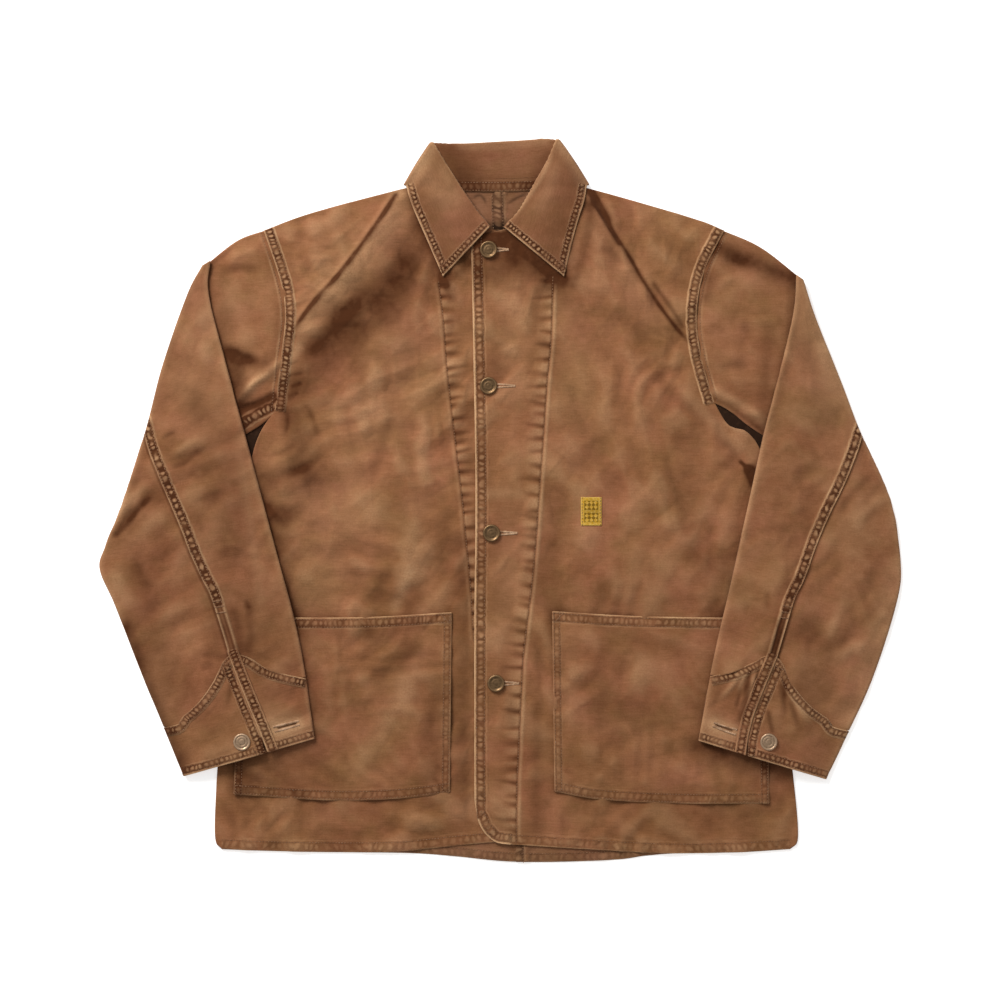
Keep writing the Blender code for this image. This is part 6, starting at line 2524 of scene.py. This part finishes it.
# ---------------------------------------------------------------- collar
@dataclass
class Collar:
    """The collar: a strip folded over at its roll, with a leaf on each front and a stand inside the neck."""

    cloth: Material
    sewing: Sewing
    right: Stations = COLLAR_STATIONS[:COLLAR_TURNS[0] + 1]
    back: Stations = COLLAR_STATIONS[COLLAR_TURNS[0]:COLLAR_TURNS[1] + 1]
    left: Stations = COLLAR_STATIONS[COLLAR_TURNS[1]:]
    stand_clear: float = 2.0
    leaf_clear: float = 2.2
    fall_clear: float = 0.45
    back_stand: float = 3.9
    back_roll: float = 0.8
    edge_clear: float = 1.75
    leaf_swell: float = 1.5
    stand_swell: float = 2.5
    roll_reach: float = 1.3
    roll_bulge: float = 0.5
    strip_width: float = 90.0
    roll_wear_reach: float = 1.6

    def stations(self) -> tuple[Array, Array, Array]:
        """Neck, roll and outer-edge points at every station, their turns and outward directions.

        Returns:
            An array of stations by three plan points, the turn of each station in radians, from
            90 degrees on the fronts to -90 on the back, and the outward direction of each.
        """
        out_right, out_left = np.array((-0.99, 0.12)), np.array((0.99, 0.12))
        steps = np.linspace(1, -1, 26)[1:-1] * math.pi / 2
        parts = [
            (self.read(self.right, graded((9, 9), (120, 78))), np.full(88, math.pi / 2), out_right),
            (np.repeat(np.array(self.right[-1:], float), 24, axis=0), steps, out_right),
            (self.read(self.back, np.linspace(0, 1, 118)), np.full(118, -math.pi / 2), out_right),
            (np.repeat(np.array(self.left[:1], float), 24, axis=0), steps[::-1], out_left),
            (self.read(self.left, graded((120, 78), (9, 9))), np.full(88, math.pi / 2), out_left),
        ]
        outward = np.concatenate([np.tile(out, (len(turn), 1)) for _, turn, out in parts])
        return np.concatenate([p for p, _, _ in parts]), np.concatenate([t for _, t, _ in parts]), outward

    @staticmethod
    def read(table: Sequence, shares: Array) -> Array:
        """A table of stations read at the given shares of its length."""
        table = np.asarray(table, float)
        return np.stack([Curve(table[:, k]).at(shares) for k in range(3)], axis=1)

    def section(self, points: Array, turn: Array, outward: Array) -> Array:
        """Points across the strip: stand, roll and fall.

        Args:
            points: Stations by neck, roll and edge.
            turn: Turn of each station.
            outward: Outward direction of each.

        Returns:
            Stations by seven points in mm.
        """
        neck, roll, edge = points[:, 0], points[:, 1], points[:, 2]
        up = (roll - neck) / np.linalg.norm(roll - neck, axis=1, keepdims=True)
        down = (edge - roll) / np.linalg.norm(edge - roll, axis=1, keepdims=True)
        plan = [neck, (neck + roll) / 2, roll - self.roll_reach * up, roll + self.roll_bulge * up,
                roll + self.roll_reach * down, (roll + edge) / 2, edge]

        def top(p: Array) -> Array:
            """Middle of the topmost front at plan points."""
            return fronts_mid(p[:, 0], p[:, 1], on_lap(p[:, 0]))

        stand = top(neck) + self.stand_clear
        leaf = stand + self.leaf_clear
        rim = top(edge) + self.edge_clear
        middle = np.maximum((leaf + rim) / 2, top(plan[5]) + self.edge_clear) + self.leaf_swell
        front = [stand, stand, stand, (stand + leaf) / 2, leaf, middle, rim]
        high, low = self.back_stand + 0 * stand, FLOOR_MID + 0 * stand
        back = [high, high + self.stand_swell, high + self.stand_swell / 2, (high + low) / 2 + self.back_roll,
                low, low, low]
        rows = []
        for at, z_front, z_back in zip(plan, front, back):
            half = (z_front - z_back) / 2
            aside = (half * np.cos(turn))[:, None] * outward
            rows.append(np.column_stack([at + aside, (z_front + z_back) / 2 + half * np.sin(turn)]))
        return np.stack(rows, axis=1)

    def leaf_edges(self, side: Side) -> tuple[Points, Points]:
        """Outer edge and front edge of a leaf, in plan."""
        table = self.right if side is RIGHT else self.left[::-1]
        return tuple(row[2] for row in table), (table[0][1], table[0][2])

    def leaf_bands(self, side: Side) -> list[Feature]:
        """Stitched bands along a leaf's edges.

        Args:
            side: The side that it belongs to.

        Returns:
            The bands.
        """
        s = side.sign
        return [Ladder(edge, s, 0.9, 9.4, (2.6, 8.0), pitch=4.8, seed=seed + s, edge_wear=1.5, depth=0.32,
                       shade=0.5, beads=1.2) for edge, seed in zip(self.leaf_edges(side), (101, 103))]

    def stand_band(self) -> Ladder:
        """The stitched seam between the collar and the back.

        Returns:
            The band.
        """
        neck = tuple(row[0] for row in self.back)
        return Ladder(neck, 1, 0.4, 10.4, (1.4, 9.6), pitch=6.4, seed=107, edge_wear=0.5, depth=0.14, lift=0.3,
                      shade=0.3, beads=0.5)

    def build(self) -> Object:
        """Makes the collar with its stitches.

        Returns:
            The collar.
        """
        points, turn, outward = self.stations()
        knots = self.section(points, turn, outward)
        shares = graded((33, 20), (7, 12), (50, 38), (10, 14))
        grid = np.array([Curve(row).at(shares) for row in knots])
        shape = grid.shape[:2]
        rolls = np.array([Curve(row).reach[36] / Curve(row).length for row in knots])[:, None]
        on_leaf = (shares[None] > rolls) & (turn[:, None] > 0.5)
        on_stand = (shares[None] < rolls) & (turn[:, None] < -0.5)
        x, y = grid[..., 0], grid[..., 1]
        leaf = Relief(x, y).take(COLLAR_CREASES)
        for side in Side:
            leaf.take(self.leaf_bands(side))
        stand = Relief(x, y).take([self.stand_band()]).take(STAND_CREASES)
        uneven = crumple(leaf, 110, 0.6)
        # Painted shade in the leaves' hollows; their tops fade.
        leaf.shade_hollows_fade_tops()
        clear = fronts_mid(x, y, on_lap(x)) + WALL + self.fall_clear
        leaf_height = np.maximum(grid[..., 2] + (leaf.height + uneven).reshape(shape), clear)
        stand_height = grid[..., 2] + (stand.height + 0.5 * uneven).reshape(shape)
        marks, hidden_marks, where = leaf.marks(shape), stand.marks(shape), [on_leaf, on_stand]
        grid[..., 2] = np.select(where, [leaf_height, stand_height], grid[..., 2])
        shade = np.select(where, [marks["shade"], hidden_marks["shade"] + 0.12], 0.1)
        roll_line = np.exp(-(((shares[None] - rolls) * self.strip_width / self.roll_wear_reach) ** 2))
        wear = np.select(where, [marks["wear"], hidden_marks["wear"]], 0) + 0.55 * roll_line
        seam = np.select([part[..., None] for part in where], [marks["seam"], hidden_marks["seam"]], 0)
        run = np.r_[0, np.cumsum(np.linalg.norm(np.diff(grid[:, 40], axis=0), axis=1))]
        weave = np.dstack([np.tile(run[:, None], (1, shape[1])), np.tile(shares[None] * 95, (shape[0], 1))])
        item = Wall("collar_strip", grid, weave, (30, shape[1] - 20), shade, wear, seam).build(self.cloth)
        seat(item, "duck_collar", "collar")
        rows = [row for side in Side for band in self.leaf_bands(side) for row in band.stitch_rows()]
        rows += [row[(row[:, 0] > -41) & (row[:, 0] < 32)] for row in self.stand_band().stitch_rows()]
        extras = self.sewing.on(item, rows, "duck_collar")
        return item


# ---------------------------------------------------------------- small pieces
@dataclass(frozen=True)
class WovenLabel:
    """Gold label cloth woven with a plain diamond and stripe pattern in dark thread."""

    name: str = "gold_label"
    gold: Colour = (0.80, 0.42, 0.022, 1)
    pale: Colour = (0.98, 0.64, 0.15, 1)
    dark: Colour = (0.170, 0.082, 0.006, 1)
    width: float = 0.022
    height: float = 0.030
    pitch: float = 0.0046

    def make(self) -> Material:
        """Builds the material.

        Returns:
            The material.
        """
        n = Nodes(self.name)
        uv = n.where("UV")
        axes = n.node("ShaderNodeSeparateXYZ", Vector=uv).outputs
        across, up = (n.maths("ABSOLUTE", n.maths("DIVIDE", axes[axis], size / 2))
                      for axis, size in (("X", self.width), ("Y", self.height)))
        ribs = n.node("ShaderNodeTexWave", {"bands_direction": "Y"}, Vector=uv, Scale=900.0).outputs["Fac"]
        inside, frame_in = (n.times(n.maths("LESS_THAN", across, wide), n.maths("LESS_THAN", up, high))
                            for wide, high in ((0.74, 0.80), (0.66, 0.72)))
        frame_in = n.times(frame_in, n.maths("GREATER_THAN", up, 0.10))
        cells = (n.maths("FRACT", n.maths("DIVIDE", axes[axis], self.pitch)) for axis in "XY")
        folds = (n.maths("ABSOLUTE", n.maths("SUBTRACT", cell, 0.5)) for cell in cells)
        gem = n.maths("LESS_THAN", n.plus(*folds), 0.50)
        pattern = n.times(gem, frame_in)
        line = n.maths("SUBTRACT", inside, frame_in)
        ink = n.maths("MINIMUM", n.plus(pattern, n.times(line, 0.3)), 1.0)
        colour = n.mixed(n.between(n.noise(uv, 420, 3), 0.35, 0.7), self.gold, self.pale)
        edge = n.maths("MAXIMUM", n.maths("GREATER_THAN", across, 0.90), n.maths("GREATER_THAN", up, 0.93))
        colour = n.mixed(n.times(edge, 0.7), colour, self.pale)
        colour = n.mixed(n.times(ink, 0.78), colour, self.dark)
        return n.finish(colour, n.plus(ribs, n.times(ink, 0.8)), 0.00025, Roughness=0.85,
                        Specular_IOR_Level=0.1)


@dataclass
class Label:
    """A small woven label sewn on the left front."""

    front: Front
    cloth: Material
    sewing: Sewing
    place: Point = (95.5, -11.5)
    width: float = 22.0
    height: float = 30.0
    thickness: float = 0.8
    swell: float = 0.5
    end_fold: float = 0.8
    seam_in: float = 1.4

    def build(self) -> Object:
        """Makes the label, sewn down at its two sides.

        Returns:
            The label.
        """
        across = np.linspace(-0.5, 0.5, 30) * self.width
        up = np.linspace(-0.5, 0.5, 40) * self.height
        local = np.dstack(np.meshgrid(across, up))
        x, y = local[..., 0] + self.place[0], local[..., 1] + self.place[1]
        ground = self.front.surface(x, y).height.reshape(x.shape)
        swell = self.swell * np.cos(math.pi * local[..., 0] / self.width)
        swell = swell * np.cos(math.pi * local[..., 1] / self.height / 1.2)
        z = ground + WALL / 2 + self.thickness / 2 + 0.15 + swell
        wear = 0.5 * (np.abs(local[..., 1]) > self.height / 2 - self.end_fold)
        item = Wall("woven_patch", np.dstack([x, y, z]), local, (0, 0), None, wear, thickness=self.thickness,
                    bevel=0.2).build(self.cloth)
        seat(item, "woven_label", "label")
        sides = []
        for sign in (-1, 1):
            ys = np.linspace(self.place[1] - self.height / 2 + 1, self.place[1] + self.height / 2 - 1, 14)
            xs = np.full(14, self.place[0] + sign * (self.width / 2 - self.seam_in))
            sides.append(np.column_stack([xs, ys]))
        extras = self.sewing.on(item, sides, "woven_label")
        return item


@dataclass
class TackButton:
    """A turned metal tack button: plain rings on its face and a short shank."""

    name: str
    node: str
    place: Point
    base: float
    metal: Material
    slot: str
    dished: bool
    radius: float = 9.2
    shank: float = 1.9
    sides: int = 56
    tilt: float = 0.0

    def profile(self) -> list[tuple[float, float, float]]:
        """Radius, height over the cloth and rubbed brightness of each ring, from the centre out.

        Returns:
            The rings.
        """
        r = self.radius
        if self.dished:
            face = [(0, 2.5, 0.25), (0.10, 2.48, 0.2), (0.20, 2.3, 0.1), (0.28, 2.2, 0.0), (0.34, 2.3, 0.15),
                    (0.42, 2.3, 0.15), (0.48, 2.1, 0.0), (0.60, 1.95, 0.0), (0.68, 2.1, 0.1), (0.76, 2.9, 0.6)]
        else:
            face = [(0, 2.9, 0.3), (0.18, 2.9, 0.3), (0.30, 2.85, 0.25), (0.34, 2.65, 0.0), (0.40, 2.65, 0.0),
                    (0.44, 2.9, 0.4), (0.62, 2.85, 0.35), (0.66, 2.6, 0.0), (0.72, 2.65, 0.1), (0.78, 3.1, 0.8)]
        rim = [(0.85, 3.35, 1.0), (0.92, 3.2, 0.9), (0.975, 2.75, 0.5), (1.0, 2.1, 0.1), (0.99, 1.5, 0.0),
               (0.94, 1.1, 0.0), (0.80, 0.95, 0.0)]
        rings = [(share * r, height, shine) for share, height, shine in face + rim]
        return rings + [(self.shank, 0.9, 0.0), (self.shank, -0.9, 0.0), (0, -0.9, 0.0)]

    def build(self) -> Object:
        """Makes the button.

        Returns:
            The button.
        """
        rings = self.profile()
        turn = np.linspace(0, 2 * math.pi, self.sides, endpoint=False)
        points, bright, faces = [np.array([[0, 0, rings[0][1]]])], [rings[0][2]], []
        for radius, height, shine in rings[1:-1]:
            ring = radius * np.cos(turn), radius * np.sin(turn), np.full(self.sides, height)
            points.append(np.column_stack(ring))
            bright += [shine] * self.sides
        points.append(np.array([[0, 0, rings[-1][1]]]))
        bright.append(0.0)
        last = 1 + (len(rings) - 2) * self.sides
        for k in range(self.sides):
            after = (k + 1) % self.sides
            faces.append([0, 1 + k, 1 + after])
            for ring in range(len(rings) - 3):
                a, b = 1 + ring * self.sides, 1 + (ring + 1) * self.sides
                faces.append([a + k, b + k, b + after, a + after])
            outer = 1 + (len(rings) - 3) * self.sides
            faces.append([outer + k, last, outer + after])
        body = np.concatenate(points)
        tilted = np.column_stack([body[:, 0], body[:, 1], body[:, 2] + self.tilt * body[:, 0]])
        item = mesh_object(self.name, (tilted + (*self.place, self.base)) * MM, faces, self.metal)
        layer = item.data.attributes.new("wear", "FLOAT", "POINT")
        layer.data.foreach_set("value", np.array(bright, np.float32))
        return seat(item, self.slot, self.node)


# ---------------------------------------------------------------- studio
@dataclass
class Studio:
    """Floor, light and camera, straight above the jacket."""

    view_width: float = 1.06
    lens: float = 120.0
    aim: Point = (-1.06, 0.53)
    key_power: float = 110.0
    key_from: tuple[float, float, float] = (-1.5, 2.15, 1.8)
    key_size: float = 1.4
    ambient: float = 0.44
    floor_glow: float = 0.52

    def build(self) -> None:
        """Makes the floor, the lights and the camera."""
        scene = bpy.context.scene
        scene.view_settings.view_transform = "Standard"
        mesh = bpy.data.meshes.new("floor")
        half = 4.0
        corners = [(-half, -half, 0), (half, -half, 0), (half, half, 0), (-half, half, 0)]
        mesh.from_pydata(corners, [], [(0, 1, 2, 3)])
        floor = bpy.data.objects.new("floor", mesh)
        floor.location.z = -0.0003
        material = Floor().make()
        shader = material.node_tree.nodes["Principled BSDF"]
        shader.inputs["Emission Color"].default_value = (1, 1, 1, 1)
        shader.inputs["Emission Strength"].default_value = self.floor_glow
        mesh.materials.append(material)
        scene.collection.objects.link(floor)

        world = bpy.data.worlds.new("studio")
        world.use_nodes = True
        background = world.node_tree.nodes["Background"]
        background.inputs["Color"].default_value = (1.0, 0.99, 0.975, 1)
        background.inputs["Strength"].default_value = self.ambient
        scene.world = world

        lamp = bpy.data.lights.new("key_light", "AREA")
        lamp.energy, lamp.size, lamp.color = self.key_power, self.key_size, (1.0, 0.985, 0.96)
        key = bpy.data.objects.new("key_light", lamp)
        key.location = self.key_from
        key.rotation_euler = (-Vector(self.key_from)).to_track_quat("-Z", "Y").to_euler()
        scene.collection.objects.link(key)

        lens = bpy.data.cameras.new("camera")
        lens.lens, lens.sensor_width = self.lens, 36.0
        lens.clip_start, lens.clip_end = 0.1, 20.0
        camera = bpy.data.objects.new("camera", lens)
        camera.location = (self.aim[0] * MM, self.aim[1] * MM, self.view_width * self.lens / lens.sensor_width)
        scene.collection.objects.link(camera)
        scene.camera = camera


def main() -> None:
    """Builds the jacket, piece by piece, and the studio."""
    logging.basicConfig(level=logging.INFO, format="%(name)s: %(message)s")
    Studio().build()
    purl = Cotton("buttonhole_thread", (0.38, 0.21, 0.11, 1), (0.60, 0.39, 0.24, 1)).make()
    sewing = Sewing(Cotton().make(), purl=purl)
    duck = Duck("washed_duck").make()
    # The inside cloth's dark is nearly black, for the painted shade inside the neck and in the underarm gaps.
    inside = Duck("inside_duck", body=(0.225, 0.102, 0.048, 1), ruddy=(0.24, 0.10, 0.052, 1),
                  dark=(0.014, 0.005, 0.0016, 1)).make()
    pocket_duck = Duck("pocket_duck", body=(0.258, 0.112, 0.046, 1)).make()
    sleeve_duck = Duck("sleeve_duck", body=(0.268, 0.118, 0.051, 1)).make()
    collar_duck = Duck("collar_duck", body=(0.208, 0.087, 0.037, 1), ruddy=(0.222, 0.083, 0.042, 1),
                       olive=(0.175, 0.086, 0.03, 1)).make()

    pocket_pair = {side: Pocket(side, pocket_duck, sewing) for side in Side}
    sleeve_pair = {side: Sleeve(side, sleeve_duck, sewing) for side in Side}
    collar = Collar(collar_duck, sewing)
    leaves = []
    for side in Side:
        outer, (roll, tip) = collar.leaf_edges(side)
        table = collar.right if side is RIGHT else collar.left[::-1]
        leaves.append(Region(outer, tuple(row[1] for row in table[::-1]), (roll, tip)))
    covers = [*SLEEVE_OUTLINES, *leaves, *(pocket.outline for pocket in pocket_pair.values())]

    backs, fronts = Backs(inside, sewing), {}
    for side in Side:
        backs.build(side)
    for side in Side:
        over = covers + ([LEFT_FRONT_OUTLINE] if side is RIGHT else [])
        fronts[side] = Front(side, duck, sewing, over)
        fronts[side].build()
    for side in Side:
        pocket_pair[side].build()
        sleeve_pair[side].build()
    Label(fronts[LEFT], WovenLabel().make(), sewing).build()
    collar.build()

    old = Bronze("old_bronze_metal", (0.22, 0.130, 0.062, 1), (0.090, 0.052, 0.024, 1)).make()
    pale = Bronze("pale_bronze_metal", (0.50, 0.34, 0.22, 1), (0.16, 0.095, 0.055, 1), 0.46).make()
    for number, place in enumerate(FRONT_BUTTONS, 1):
        ground = float(fronts[LEFT].surface([place[0]], [place[1]]).height[0]) + WALL / 2
        TackButton(f"front_tack_button_{number}", f"front_button_{number}", place, ground, old, "old_bronze",
                   True, tilt=0.03).build()
    for side, place in CUFF_BUTTONS.items():
        sleeve = sleeve_pair[side]
        ground = float(np.max(sleeve.under_mid(np.array([place[0]]), np.array([place[1]])))) + 2 * SLEEVE_HALF
        ground += sleeve.air * 0.6 + WALL / 2
        TackButton(f"cuff_tack_button_{side}", f"cuff_button_{side}", place, ground, pale, "pale_bronze",
                   False).build()


if __name__ == "__main__":
    main()
